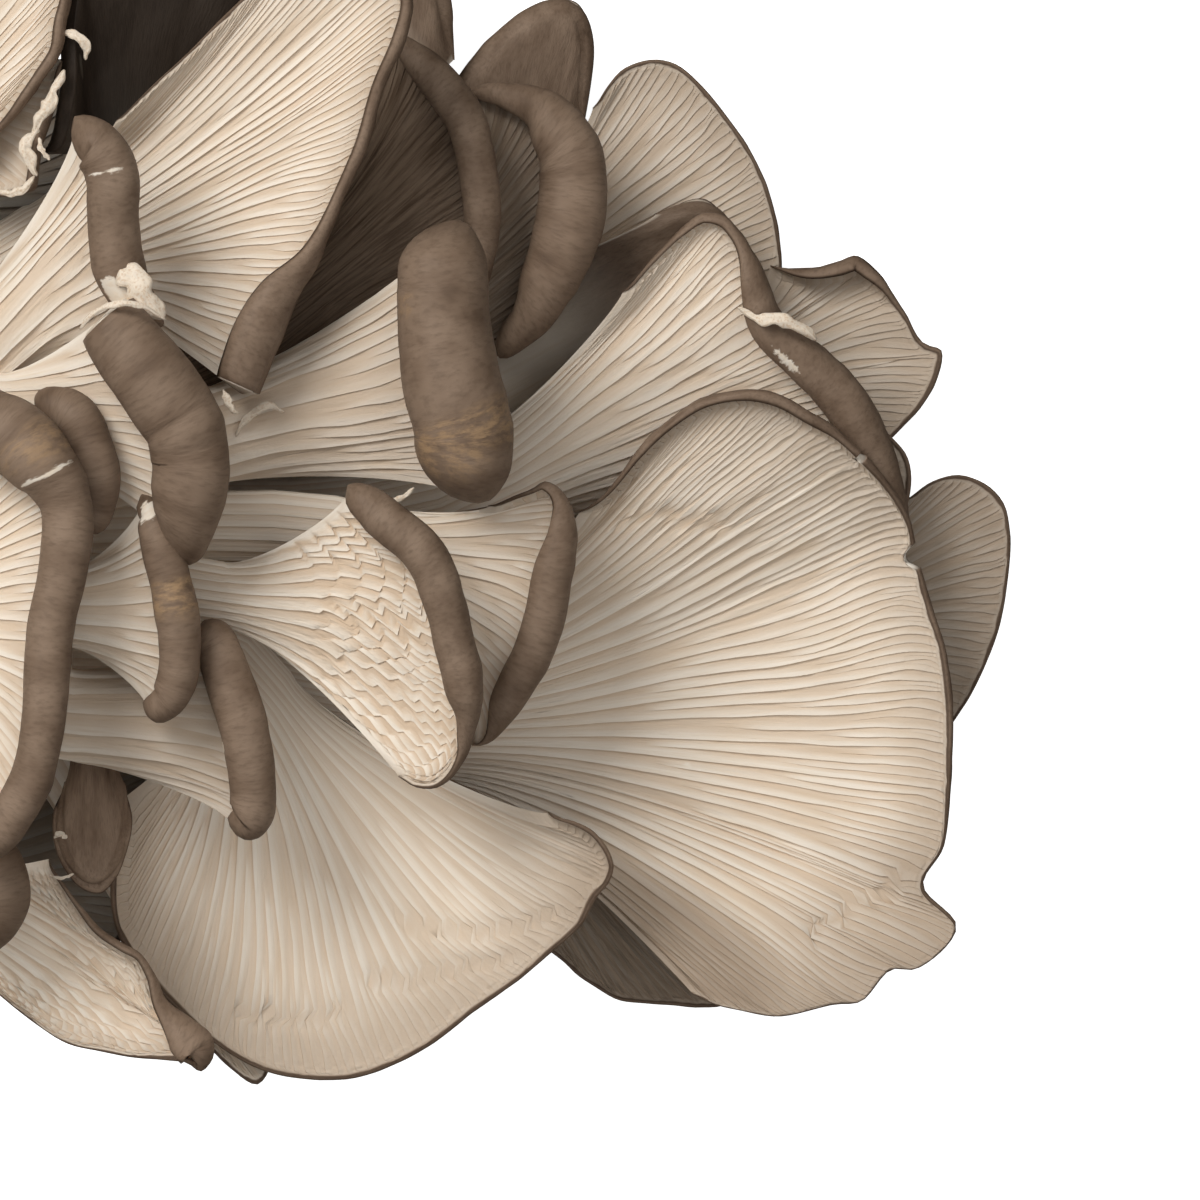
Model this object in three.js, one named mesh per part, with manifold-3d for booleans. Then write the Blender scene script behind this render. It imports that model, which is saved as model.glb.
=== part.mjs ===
// Oyster mushroom cluster, lying on the undersides of its lowest caps with the gills facing up.
// Millimetres, +Z up. One solid for the knot of joined stems and one for each mushroom.
import * as THREE from 'three';
import Module from 'manifold-3d';

// ---- driving dimensions -----------------------------------------------------------------
const CENTRE_X = -4.9; // where the middle of the whole stands in the layout below
const CENTRE_Y = 14.78;
const FLOOR = 8.2; // layout height at which the lowest caps are pressed flat
const CLEARANCE = 0.55; // gap kept between touching mushrooms
const RIDGE_PITCH = 9.54; // spacing of the raised gills along the rim
const RIDGE_HEIGHT = 1.1; // how far a gill stands out of the cap
const CREST = 0.62; // where its crest stands between two valleys
const CURLED = 100; // degrees of roll from which the margin gets more rows
const STEM_SIDES = 5; // facets across half of a stem
const ALIKE = 3; // columns at each side edge that the gill side and the cap's side share
const TOP_SHARE = 0.3; // columns of the cap's side between them, for each gill
const TOP_SPANS = 3; // and the fewest of them
const GOLDEN_ANGLE = 2.399; // turn between one mushroom's waves and the next one's
const CUP = Math.PI / 18; // how far a rim tips towards the gill side before it rolls
const STEM_FLAT = 0.8; // depth of a stem as a share of its width
const LEAST_ROLL = 0.25; // smallest radius of a roll
const END_RADII = 1.1; // a roll rounds off over this many of its radii at each end of the rim
const END_MORE = 1; // and this much more
const CUT_END = 0.5; // length of the rounding at an end that is torn off square
const PLAIN_ANGLE = 100; // degrees of roll up to which an end of the rim is a plain edge
const FINGER_ANGLE = 180; // and from which it stands free as a fingertip
const HOOK = 0.5; // how strongly the sheet bows in under such a fingertip
const HOOK_REACH = 14; // over this length of the rim
const HOOK_SPAN = 22; // and for no more than this much of the sheet
const LEAST_ANGLE = 8; // smallest angle of a roll, degrees
const SWAY = [[3.1, 1, 0.35], [6.3, 2.1, 0.6], [11.7, 1.3, 1]]; // waves in the rim's plan: step, phase, size
const LIFT = [[7.9, 3.1, 0.9], [4.3, 0.7, 0.3]]; // waves across it
const KNOT = { centre: [-67, 6, 40], half: [17, 27, 25], cut: -80, around: 26, rings: 11 };
const LUMPS = [[5, 1.3, 0.05], [3, -1, 0.03]]; // in the knot: how many round it, twist a ring, size
const STEM_END = 0.22; // share of the way from foot to rim taken by the stem
const ROLL_START = 0.8; // share of the way at which the margin begins to roll in
const ROWS = [0, 0.11, STEM_END, 0.3, 0.44, 0.62, ROLL_START]; // v of the rows below the roll
const CURLED_ROWS = [0.86, 0.91, 0.955, 1]; // and along a curled margin
const PLAIN_ROWS = [0.88, 1]; // and along one that hardly rolls

// ---- small vector helpers ---------------------------------------------------------------
const add = (a, b) => [a[0] + b[0], a[1] + b[1], a[2] + b[2]];
const sub = (a, b) => [a[0] - b[0], a[1] - b[1], a[2] - b[2]];
const mul = (a, k) => [a[0] * k, a[1] * k, a[2] * k];
const dot = (a, b) => a[0] * b[0] + a[1] * b[1] + a[2] * b[2];
const cross = (a, b) => [
  a[1] * b[2] - a[2] * b[1],
  a[2] * b[0] - a[0] * b[2],
  a[0] * b[1] - a[1] * b[0],
];
const size = (a) => Math.sqrt(dot(a, a));
const unit = (a) => mul(a, 1 / Math.max(size(a), 1e-9));
const clamp = (x, low, high) => Math.min(Math.max(x, low), high);
const ease = (x) => {
  const t = clamp(x, 0, 1);
  return t * t * (3 - 2 * t);
};

// Cubic between two points with the given end slopes.
function bend(a, b, slopeA, slopeB, s) {
  const s2 = s * s;
  const s3 = s2 * s;
  return add(
    add(mul(a, 2 * s3 - 3 * s2 + 1), mul(slopeA, s3 - 2 * s2 + s)),
    add(mul(b, 3 * s2 - 2 * s3), mul(slopeB, s3 - s2)),
  );
}

// ---- a smooth line through the points of a rim, walked by its length --------------------
class Rim {
  constructor(points) {
    const last = points.length - 1;
    const before = points[0].map((x, k) => 2 * x - points[1][k]);
    const after = points[last].map((x, k) => 2 * x - points[last - 1][k]);
    this.points = [before, ...points, after];
    this.spans = last;
    this.marks = [];
    const steps = 40 * last;
    let length = 0;
    let previous = this.raw(0);
    for (let i = 0; i <= steps; i++) {
      const here = this.raw((i / steps) * last);
      length += size(sub(here, previous));
      previous = here;
      this.marks.push(length);
    }
    this.length = length;
  }

  raw(x) {
    const i = clamp(Math.floor(x), 0, this.spans - 1);
    const w = x - i;
    const [a, b, c, d] = this.points.slice(i, i + 4);
    const before = Math.sqrt(size(sub(b, a)));
    const inside = Math.sqrt(size(sub(c, b)));
    const after = Math.sqrt(size(sub(d, c)));
    return b.map((_, k) => {
      const slope1 =
        ((b[k] - a[k]) / before - (c[k] - a[k]) / (before + inside) + (c[k] - b[k]) / inside) * inside;
      const slope2 =
        ((c[k] - b[k]) / inside - (d[k] - b[k]) / (inside + after) + (d[k] - c[k]) / after) * inside;
      const cube = 2 * (b[k] - c[k]) + slope1 + slope2;
      const square = 3 * (c[k] - b[k]) - 2 * slope1 - slope2;
      return b[k] + slope1 * w + square * w * w + cube * w * w * w;
    });
  }

  at(u) {
    const goal = clamp(u, 0, 1) * this.length;
    let low = 0;
    let high = this.marks.length - 1;
    while (high - low > 1) {
      const middle = (low + high) >> 1;
      if (this.marks[middle] <= goal) {
        low = middle;
      } else {
        high = middle;
      }
    }
    const gap = Math.max(this.marks[high] - this.marks[low], 1e-9);
    const x = low + (goal - this.marks[low]) / gap;
    return this.raw((x / (this.marks.length - 1)) * this.spans);
  }
}

// ---- one mushroom -----------------------------------------------------------------------
// u runs along the rim from one side of the fan to the other, v from the foot to the rim.
class Mushroom {
  constructor(name, shape) {
    this.name = name;
    this.foot = shape.foot;
    this.neck = shape.neck;
    this.stem = shape.stem;
    this.flesh = shape.flesh;
    this.seed = shape.seed ?? 1;
    this.wave = shape.wave ?? 0.35;
    this.rim = new Rim(shape.rim);
    this.tips = [0.15, 0.85].map((u, i) => {
      const [angle, radius] = this.rim.at(u).slice(3);
      const length = shape.cut?.[i] ? CUT_END : END_RADII * radius + END_MORE;
      return {
        length: Math.min(length / this.rim.length, 0.4),
        hook: shape.cut?.[i] ? 0 : HOOK,
        curl: clamp((angle - PLAIN_ANGLE) / (FINGER_ANGLE - PLAIN_ANGLE), 0, 1),
      };
    });
    let turned = [0, 0, 0];
    let middle = [0, 0, 0];
    shape.rim.forEach((point, i) => {
      middle = add(middle, mul(point, 1 / shape.rim.length));
      if (i > 0) {
        turned = sub(turned, cross(sub(shape.rim[i - 1], this.neck), sub(point, this.neck)));
      }
    });
    this.gillSide = shape.gillSide ?? unit(turned);
    this.aim = unit(sub(unit(sub(middle, this.neck)), mul(this.gillSide, 0.35)));
    this.across = unit(cross(this.aim, this.gillSide));
    this.front = cross(this.across, this.aim);
    this.start = unit(sub(this.neck, this.foot));
    this.gills = Math.max(6, Math.round(this.rim.length / RIDGE_PITCH));
  }

  // The rim's place, its outward and gill-side directions, and the radius and angle of its roll.
  // A rolled end is rounded off like a fingertip, and the sheet bows in under it.
  margin(u) {
    const here = this.rim.at(u);
    const [first, last] = this.tips;
    const tip = u < 0.5 ? first : last;
    const fromEnd = clamp(Math.min(u, 1 - u) / tip.length, 0, 1);
    const ends = Math.sqrt(1 - (1 - fromEnd) ** 2);
    const steady = clamp(u, first.curl * first.length, 1 - last.curl * last.length);
    const along = unit(sub(this.rim.at(steady + 0.001), this.rim.at(steady - 0.001)));
    const up = unit(sub(this.gillSide, mul(along, dot(along, this.gillSide))));
    const out = add(mul(cross(up, along), Math.cos(CUP)), mul(up, Math.sin(CUP)));
    const inner = cross(along, out);
    const near = clamp(size(sub(here, this.neck)) / (3.2 * here[4] + this.stem), 0.15, 1);
    const k = this.seed * GOLDEN_ANGLE;
    const x = clamp(u, 0, 1) * this.rim.length;
    const waves = (list) =>
      list.reduce((sum, [step, phase, high]) => sum + high * Math.sin(x / step + phase * k), 0);
    const sway = waves(SWAY);
    const lift = waves(LIFT);
    const full = here[4] * near;
    const radius = Math.max(full * ends, LEAST_ROLL);
    const rounded = tip.curl * Math.max(full - radius, 0);
    const away = ease(1 - (Math.min(u, 1 - u) * this.rim.length) / HOOK_REACH);
    const shift = add(
      mul(out, 0.5 * this.wave * sway * ends - rounded),
      mul(inner, 0.6 * this.wave * lift * ends),
    );
    return {
      place: add(here, shift),
      out,
      inner,
      along,
      radius,
      angle: (Math.max(here[3], LEAST_ANGLE) * (1 - 0.3 * (1 - ends) * (1 - tip.curl)) * Math.PI) / 180,
      hook: tip.hook * tip.curl * away * (u < 0.5 ? -1 : 1),
    };
  }

  // A point of the stem's skin, side 1 under the gills and -1 under the cap.
  stemAt(s, u, side) {
    const reach = size(sub(this.neck, this.foot));
    const centre = bend(this.foot, this.neck, mul(this.start, reach), mul(this.aim, reach), s);
    const ahead = bend(this.foot, this.neck, mul(this.start, reach), mul(this.aim, reach), s + 0.001);
    const axis = unit(sub(ahead, centre));
    const wide = unit(cross(axis, this.gillSide));
    const high = cross(wide, axis);
    const turn = Math.PI * u;
    let radius = this.stem * (1 + 0.12 * (1 - s) ** 2);
    radius *= 1 + 0.05 * Math.sin(3 * turn * side + this.seed) + 0.04 * Math.sin(9 * s + this.seed);
    return add(
      centre,
      add(mul(wide, -Math.cos(turn) * radius), mul(high, side * Math.sin(turn) * radius * STEM_FLAT)),
    );
  }

  // Thickness of the flesh across the fan, nothing at its two side edges.
  edge(u) {
    return clamp(1 - (2 * clamp(u, 0, 1) - 1) ** 2, 0, 1) ** 0.4;
  }

  // The smooth gill side.
  gill(u, v) {
    if (v <= STEM_END) {
      return this.stemAt(v / STEM_END, u, 1);
    }
    const m = this.margin(u);
    const thin = this.edge(u) * this.flesh * 0.55;
    const reach = (m.radius + thin) * (m.angle > Math.PI / 2 ? 1 : Math.sin(m.angle));
    const base = sub(m.place, mul(m.out, reach));
    if (v > ROLL_START) {
      const turn = (m.angle * (v - ROLL_START)) / (1 - ROLL_START);
      const centre = add(base, mul(m.inner, m.radius));
      return add(
        centre,
        add(mul(m.out, Math.sin(turn) * m.radius), mul(m.inner, -Math.cos(turn) * m.radius)),
      );
    }
    const turn = Math.PI * u;
    const from = add(
      this.neck,
      add(
        mul(this.across, -Math.cos(turn) * this.stem),
        mul(this.front, Math.sin(turn) * this.stem * STEM_FLAT),
      ),
    );
    const far = size(sub(base, from));
    const chord = mul(sub(base, from), 1 / far);
    const straight = Math.max(dot(chord, m.out), 0.3);
    const arrive = unit(add(mul(m.out, straight), mul(m.along, dot(chord, m.along))));
    const leave = clamp(dot(chord, this.aim), 0.25, 1) * far;
    const s = (v - STEM_END) / (ROLL_START - STEM_END);
    const arrival = add(mul(arrive, 0.3 * far), mul(m.along, m.hook * Math.min(far, HOOK_SPAN)));
    return bend(from, base, mul(this.aim, leave), arrival, s);
  }

  // The way through the flesh, from the cap's side to the gills.
  through(u, v) {
    const m = this.margin(u);
    if (v > ROLL_START) {
      const turn = (m.angle * (v - ROLL_START)) / (1 - ROLL_START);
      return add(mul(m.inner, Math.cos(turn)), mul(m.out, -Math.sin(turn)));
    }
    const s = clamp((v - STEM_END) / (ROLL_START - STEM_END), 0, 1);
    const w = ease(s);
    return unit(add(mul(this.front, 1 - w), mul(m.inner, w)));
  }

  // The cap's smooth side.
  top(u, v) {
    if (v <= STEM_END) {
      return this.stemAt(v / STEM_END, u, -1);
    }
    const s = clamp((v - STEM_END) / (ROLL_START - STEM_END), 0, 1);
    const r = clamp((v - ROLL_START) / (1 - ROLL_START), 0, 1);
    const thick = this.edge(u) * this.flesh * (1.25 - 0.7 * s) * Math.sqrt(Math.max(1 - r ** 2.2, 0));
    const w = ease(s / 0.45);
    const core = 2 * this.stem * STEM_FLAT * Math.sin(Math.PI * u) * (1 - w);
    const back = add(mul(this.front, core), mul(this.through(u, v), thick * w));
    return sub(this.gill(u, v), back);
  }

  // The gill side with its raised gills, each of them leaning to one side.
  ridged(u, v, high) {
    const at = this.gill(u, v);
    if (!high) {
      return at;
    }
    const fade = ease((v - STEM_END) / 0.15) * ease((0.99 - v) / 0.1);
    const ends = clamp(Math.min(u, 1 - u) * this.gills, 0, 1);
    return add(at, mul(this.through(u, v), RIDGE_HEIGHT * fade * ends));
  }

  // Closed skin. Two columns to a gill on the gill side and fewer on the smooth side.
  skin() {
    const points = [];
    const faces = [];
    const put = (p) => points.push(p) - 1;
    const gillColumns = [0];
    for (let k = 0; k < this.gills; k++) {
      gillColumns.push((k + CREST) / this.gills);
      gillColumns.push((k + 1) / this.gills);
    }
    const even = (n) => Array.from({ length: n + 1 }, (_, k) => k / n);
    const stemColumns = even(STEM_SIDES);
    // Both sides are split alike near the thin side edges, so that they can't cross there.
    const left = gillColumns.slice(0, ALIKE);
    const right = gillColumns.slice(-ALIKE);
    const span = right[0] - left[ALIKE - 1];
    const between = even(Math.max(TOP_SPANS, Math.round(this.gills * TOP_SHARE)));
    const topColumns = [...left, ...between.slice(1, -1).map((w) => left[ALIKE - 1] + span * w), ...right];
    const inner = gillColumns.slice(ALIKE, -ALIKE).filter((_, k) => k % 2 === 0);
    const rollColumns = [...left, ...inner, ...right];
    const curled = this.rim.at(0.5)[3] > CURLED;
    const levels = [...ROWS, ...(curled ? CURLED_ROWS : PLAIN_ROWS)];
    let last = null;
    for (const v of levels) {
      const inStem = v < STEM_END;
      const gillU = inStem ? stemColumns : gillColumns;
      const capU = v < ROLL_START ? topColumns : rollColumns;
      const topU = inStem ? stemColumns : v === 1 ? gillColumns : capU;
      const gillRow = gillU.map((u, k) => put(this.ridged(u, v, !inStem && k % 2 === 1)));
      const topRow = topU.map((u, k) => {
        if (k === 0) {
          return gillRow[0];
        }
        if (k === topU.length - 1) {
          return gillRow[gillRow.length - 1];
        }
        return v === 1 ? gillRow[k] : put(this.top(u, v));
      });
      if (last === null) {
        const ring = [...gillRow, ...topRow.slice(1, -1).reverse()];
        const centre = put(this.foot);
        ring.forEach((p, k) => faces.push([ring[(k + 1) % ring.length], p, centre]));
      } else {
        stitch(faces, last.gillRow, last.gillU, gillRow, gillU, false);
        stitch(faces, last.topRow, last.topU, topRow, topU, true);
      }
      last = { gillRow, gillU, topRow, topU };
    }
    return { points, faces };
  }
}

// Triangles between two rows of points that may differ in number.
function stitch(faces, rowA, uA, rowB, uB, flip) {
  let i = 0;
  let j = 0;
  while (i < rowA.length - 1 || j < rowB.length - 1) {
    const stepA = i < rowA.length - 1;
    const stepB = j < rowB.length - 1;
    let face;
    if (!stepB || (stepA && uA[i] + uA[i + 1] <= uB[j] + uB[j + 1])) {
      face = [rowA[i], rowA[i + 1], rowB[j]];
      i += 1;
    } else {
      face = [rowA[i], rowB[j + 1], rowB[j]];
      j += 1;
    }
    if (face[0] !== face[1] && face[1] !== face[2] && face[0] !== face[2]) {
      faces.push(flip ? [face[1], face[0], face[2]] : face);
    }
  }
}

// ---- the mushrooms, nearest first; each one behind makes way for those in front ---------
// Rim points: x, y, z, angle through which the margin rolls in, radius of that roll.
// cut tells whether the rolled margin is torn off square at its first and at its last end.
const SHAPES = {
  left_fan: {
    foot: [-70, 3, 58],
    neck: [-72, -2, 72],
    stem: 6,
    flesh: 3.5,
    seed: 1,
    rim: [
      [-59.2, 31.6, 76, 235, 4.2],
      [-54.7, 30.6, 77, 235, 4.6],
      [-50.1, 28.5, 78, 240, 4.6],
      [-46.6, 25.4, 79, 240, 4.4],
      [-44, 21.8, 80, 240, 4],
      [-42.2, 18, 80, 240, 3.3],
      [-41.2, 13.5, 80, 235, 2.7],
      [-41.4, 8.7, 80, 235, 2.4],
      [-42.6, 2.1, 79.5, 235, 2.2],
      [-44.2, -4.8, 79, 235, 2.1],
      [-45.6, -19.4, 78, 235, 2.1],
      [-47.1, -25.2, 77, 230, 2.1],
      [-49.8, -30.7, 76, 230, 2.2],
      [-53.4, -35.3, 75, 220, 2.2],
      [-57.9, -38.1, 74, 200, 2.2],
    ],
  },
  left_roll: {
    foot: [-62, 12, 62],
    neck: [-56, 16, 66],
    stem: 4,
    flesh: 3,
    seed: 1,
    rim: [
      [-50.5, 30, 69.5, 220, 2],
      [-48, 30.5, 70, 225, 2.1],
      [-44.7, 30, 71, 235, 2.2],
      [-41.6, 28, 72, 235, 2.2],
      [-39.6, 24.5, 72, 235, 2.2],
      [-38.5, 20.8, 72, 235, 2.2],
      [-37.9, 16.9, 71, 235, 2.2],
      [-38.3, 13, 70, 230, 2.1],
      [-39.6, 10.1, 69, 225, 2],
      [-41.4, 8.2, 68, 220, 1.9],
    ],
  },
  small_curl_upper: {
    foot: [-58, 4, 60],
    neck: [-46, -1, 64],
    stem: 5.5,
    flesh: 3,
    seed: 1,
    rim: [
      [-35, 15.5, 70, 200, 1.2],
      [-32.3, 14, 71, 220, 1.5],
      [-30.5, 11.2, 72, 230, 1.8],
      [-29.1, 7.3, 72, 230, 2],
      [-28, 3.2, 72, 230, 2],
      [-27.2, -1.4, 72, 230, 2],
      [-26.8, -5.5, 71.5, 230, 1.9],
      [-26.9, -9.7, 71, 230, 1.9],
      [-27.8, -13.5, 70, 230, 2],
      [-29.6, -16.1, 69, 225, 2],
      [-32.4, -17.4, 68, 215, 2],
      [-34.8, -16.9, 67, 180, 1.8],
    ],
  },
  upper_left_cap: {
    foot: [-62, 16, 58],
    neck: [-60, 33, 64],
    stem: 5.5,
    flesh: 3,
    seed: 1,
    cut: [false, true],
    rim: [
      [-44, 68.8, 73.5, 235, 2.3],
      [-41.7, 67.9, 74, 235, 2.5],
      [-39.5, 66.9, 74, 235, 2.7],
      [-37.5, 65, 74, 235, 2.8],
      [-36, 62.3, 74, 235, 2.8],
      [-35.2, 58.7, 74, 235, 2.7],
      [-35.1, 54.7, 73.5, 235, 2.7],
      [-34.7, 51, 73, 235, 2.8],
      [-33.9, 47.4, 72.5, 235, 3],
      [-33, 43.2, 72, 225, 2.6],
      [-32.2, 39.9, 71, 200, 1.8],
      [-31.9, 37.7, 70, 150, 1.4],
    ],
  },
  left_middle_cap: {
    foot: [-58, 14, 60],
    neck: [-56, 26.5, 66],
    stem: 5,
    flesh: 3.5,
    seed: 1,
    cut: [true, false],
    rim: [
      [-35.7, 43.5, 75.5, 245, 4.2],
      [-33.6, 41.1, 75.8, 245, 4.3],
      [-31.5, 38.8, 76, 245, 4.4],
      [-29, 35.8, 76, 245, 4.4],
      [-26.7, 32.4, 75.5, 245, 4.4],
      [-24.5, 29.2, 75, 245, 4.4],
      [-22.9, 26.2, 75, 245, 4.4],
      [-22, 22.6, 74, 245, 4.4],
      [-21.7, 18.8, 73.5, 245, 4.4],
      [-22.3, 15.2, 73, 245, 4.3],
      [-23.3, 11.9, 72, 240, 4.1],
      [-24.7, 8.6, 71, 230, 3.6],
      [-26.5, 5.5, 70, 215, 2.6],
      [-28.1, 3.9, 69, 200, 2],
    ],
  },
  small_curl_lower: {
    foot: [-58, -6, 52],
    neck: [-46, -16, 56],
    stem: 6.5,
    flesh: 3,
    seed: 1,
    rim: [
      [-25.7, -1.4, 62.5, 225, 2.2],
      [-23.2, -2.5, 63, 235, 2.4],
      [-21.5, -4.6, 63.5, 235, 2.4],
      [-20.4, -7.6, 64, 235, 2.4],
      [-19, -12, 64, 235, 2.4],
      [-17.7, -16.1, 64, 235, 2.4],
      [-16.8, -20.6, 63.5, 235, 2.4],
      [-16.2, -24.8, 63, 235, 2.4],
      [-16.2, -27.8, 62.5, 235, 2.4],
      [-16.9, -30.9, 62, 230, 2.4],
      [-18.8, -33.1, 61, 225, 2.3],
      [-21.1, -33.8, 60.5, 215, 2.2],
      [-22.7, -33.4, 60, 200, 2],
    ],
  },
  middle_cap: {
    foot: [-58, 4, 52],
    neck: [-25, 1, 56],
    stem: 4.4,
    flesh: 3,
    seed: 1,
    rim: [
      [-6.5, 17.5, 66, 225, 1.8],
      [-3.7, 16.7, 66.5, 230, 2],
      [-0.9, 15.3, 67, 235, 2.2],
      [1.6, 13.2, 67.5, 235, 2.2],
      [5.5, 9.6, 68, 235, 2.1],
      [7.9, 6.2, 68, 235, 2.1],
      [9.5, 2.4, 68, 235, 2.1],
      [10.6, -1.5, 67.5, 230, 2],
      [11.2, -5.6, 67, 230, 1.9],
      [12, -9, 66.5, 230, 1.9],
      [12.2, -12.5, 66, 220, 1.8],
      [11.9, -15.6, 65, 190, 1.5],
      [10.9, -18.8, 64, 150, 1.2],
      [9.8, -22, 63, 110, 1],
      [7.8, -24.9, 62, 80, 1],
      [5.3, -26.4, 61, 60, 1],
      [2.4, -26.2, 60.5, 50, 1],
      [-0.1, -24.6, 60, 45, 1],
    ],
  },
  top_left_fan: {
    foot: [-68, 22, 50],
    neck: [-72, 56, 62],
    stem: 6,
    flesh: 3,
    seed: 1,
    rim: [
      [-65.2, 97.3, 66, 60, 1.5],
      [-53.4, 97.2, 67, 80, 1.5],
      [-45.3, 89.5, 68, 100, 1.5],
      [-44.5, 84, 68, 110, 1.4],
      [-45.6, 79.8, 68, 110, 1.3],
      [-46.3, 75.9, 68, 110, 1.3],
      [-48.4, 72.5, 68, 110, 1.3],
      [-50.7, 69.3, 67.5, 110, 1.3],
      [-53.1, 66.4, 67, 100, 1.3],
      [-56.5, 63.6, 66.5, 80, 1.3],
      [-61.6, 61.1, 66, 60, 1.3],
    ],
  },
  lower_left_edge: {
    foot: [-66, -4, 52],
    neck: [-70, -26, 56],
    stem: 5,
    flesh: 3,
    seed: 1,
    rim: [
      [-54.9, -30.9, 60, 200, 3],
      [-51.3, -34.1, 61, 230, 4.4],
      [-49.8, -38.1, 61, 230, 4.6],
      [-50, -42.6, 60, 230, 4.6],
      [-51.8, -46.4, 59, 230, 4.6],
      [-55.2, -49.8, 58, 230, 4.6],
      [-61.2, -52.3, 57, 200, 3],
    ],
  },
  centre_roll: {
    foot: [-58, 14, 48],
    neck: [-30, 22, 50],
    stem: 6.5,
    flesh: 3,
    seed: 1,
    rim: [
      [13.2, 53.5, 57.5, 250, 5.4],
      [13.6, 50.2, 57.8, 250, 5.5],
      [14.1, 47.1, 58, 250, 5.6],
      [14.3, 43.9, 58, 250, 5.6],
      [14.3, 40.1, 58, 250, 5.6],
      [14.8, 36.2, 58, 250, 5.7],
      [15.6, 32.3, 58, 250, 5.8],
      [16.8, 28.6, 57.5, 250, 6],
      [17.7, 24.8, 57, 250, 6.1],
      [17.7, 21.3, 56.5, 250, 6.1],
      [17.3, 18.1, 56, 250, 5.8],
      [16.4, 15.3, 55.5, 250, 5.3],
      [15.4, 12.8, 55, 250, 4.8],
    ],
  },
  lower_left_curl: {
    foot: [-60, -10, 42],
    neck: [-43, -21, 47],
    stem: 3,
    flesh: 3,
    seed: 1,
    gillSide: [0, 0, -1],
    rim: [
      [-46.9, -25.4, 50, 30, 1.6],
      [-49.4, -29.6, 51.5, 40, 1.6],
      [-49.4, -34.9, 53, 50, 1.6],
      [-47.4, -39.1, 53, 50, 1.5],
      [-44.6, -41.6, 53, 45, 1.4],
      [-41.3, -42.2, 52.5, 45, 1.4],
      [-38.5, -39.9, 53, 50, 1.5],
      [-36.8, -35.5, 53, 50, 1.6],
      [-36.5, -30.5, 51.5, 40, 1.6],
      [-38.3, -25.7, 50, 30, 1.6],
    ],
  },
  top_left_ruffle: {
    foot: [-66, 22, 46],
    neck: [-64.6, 69.6, 57],
    stem: 5,
    flesh: 3,
    seed: 1,
    rim: [
      [-46.2, 75.4, 64, 60, 1.2],
      [-46.4, 70.9, 65, 80, 1.3],
      [-47.5, 66.7, 65, 90, 1.3],
      [-48.7, 63.5, 65, 90, 1.3],
      [-49.4, 60.2, 64.5, 90, 1.3],
      [-50.4, 56.7, 64, 90, 1.3],
      [-53.8, 55.5, 63, 70, 1.2],
      [-59, 55.7, 62, 40, 1.1],
    ],
  },
  top_fan: {
    foot: [-62, 20, 42],
    neck: [-50, 49, 48],
    stem: 6.5,
    flesh: 3.5,
    seed: 1,
    cut: [false, true],
    rim: [
      [-39.4, 66.8, 60, 20, 1],
      [-34.7, 71.8, 60.5, 20, 1],
      [-29.1, 76.8, 61.5, 20, 1],
      [-23.2, 82.8, 62.5, 20, 1],
      [-15.8, 89.7, 64, 30, 1],
      [-6.8, 91.7, 64.5, 40, 1.2],
      [0.2, 89, 64.5, 60, 1.4],
      [2.4, 83.4, 64, 100, 1.4],
      [1.3, 77.6, 63.5, 110, 1.4],
      [-1.5, 70.7, 63, 110, 1.4],
      [-3.7, 62.6, 62, 115, 1.5],
      [-7.2, 54.3, 61, 120, 1.6],
      [-10.1, 47.6, 60.5, 150, 2.1],
      [-12.9, 41.8, 60, 200, 2.8],
      [-15.4, 35.5, 60, 225, 3.2],
      [-17.5, 30.6, 60, 225, 3.3],
      [-18.9, 27.4, 60, 225, 3.3],
    ],
  },
  top_left_brown: {
    foot: [-62, 24, 50],
    neck: [-38, 62, 47],
    stem: 6,
    flesh: 4,
    seed: 1,
    gillSide: [0, 0, -1],
    rim: [
      [-19.2, 75.4, 52, 60, 3],
      [-16.7, 88, 53, 70, 3],
      [-24.3, 98.4, 55, 80, 3],
      [-38.9, 99.2, 59, 80, 3],
      [-46.3, 91.8, 62, 70, 2.4],
      [-47.9, 84.8, 63, 70, 2.2],
      [-48.1, 79.6, 63, 60, 2],
      [-47.8, 74.8, 63, 60, 2],
      [-48.1, 70.1, 62.5, 60, 2],
      [-48.8, 66, 62, 60, 2],
      [-49.7, 62.4, 61, 60, 2],
    ],
  },
  behind_middle: {
    foot: [-58, 9, 44],
    neck: [-2, 8, 46],
    stem: 5,
    flesh: 3,
    seed: 1,
    rim: [
      [12.3, 13.3, 50, 60, 1],
      [15.4, 15.1, 50.5, 80, 1.1],
      [17.9, 16.3, 51, 100, 1.2],
      [20.3, 17.3, 51.5, 110, 1.3],
      [22.4, 16.3, 52, 120, 1.3],
      [24.1, 14, 52, 150, 1.4],
      [25.1, 10.6, 52, 190, 1.6],
      [25.3, 7, 51.5, 220, 1.8],
      [24.8, 2.8, 51, 230, 2],
      [23.8, -2.5, 50.5, 230, 2],
      [21.8, -8.4, 50, 230, 2],
      [18.9, -13.3, 49, 230, 1.9],
      [15.8, -17.3, 48, 200, 1.7],
      [12.9, -20, 47.5, 130, 1.3],
      [10.6, -21.1, 47, 80, 1.1],
    ],
  },
  lower_fan: {
    foot: [-57, -6, 36],
    neck: [-22, -14, 36],
    stem: 7.5,
    flesh: 4,
    seed: 1,
    rim: [
      [20.7, -29.6, 45, 80, 1.4],
      [24.5, -30.1, 45, 80, 1.5],
      [27.7, -31.7, 44.5, 70, 1.5],
      [30, -34.5, 43.5, 70, 1.5],
      [30.8, -37.3, 43, 60, 1.5],
      [30, -40, 42, 60, 1.4],
      [28, -42.4, 41, 50, 1.3],
      [25.9, -46.3, 40, 40, 1.2],
      [21.7, -50.1, 38.5, 35, 1.2],
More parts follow.
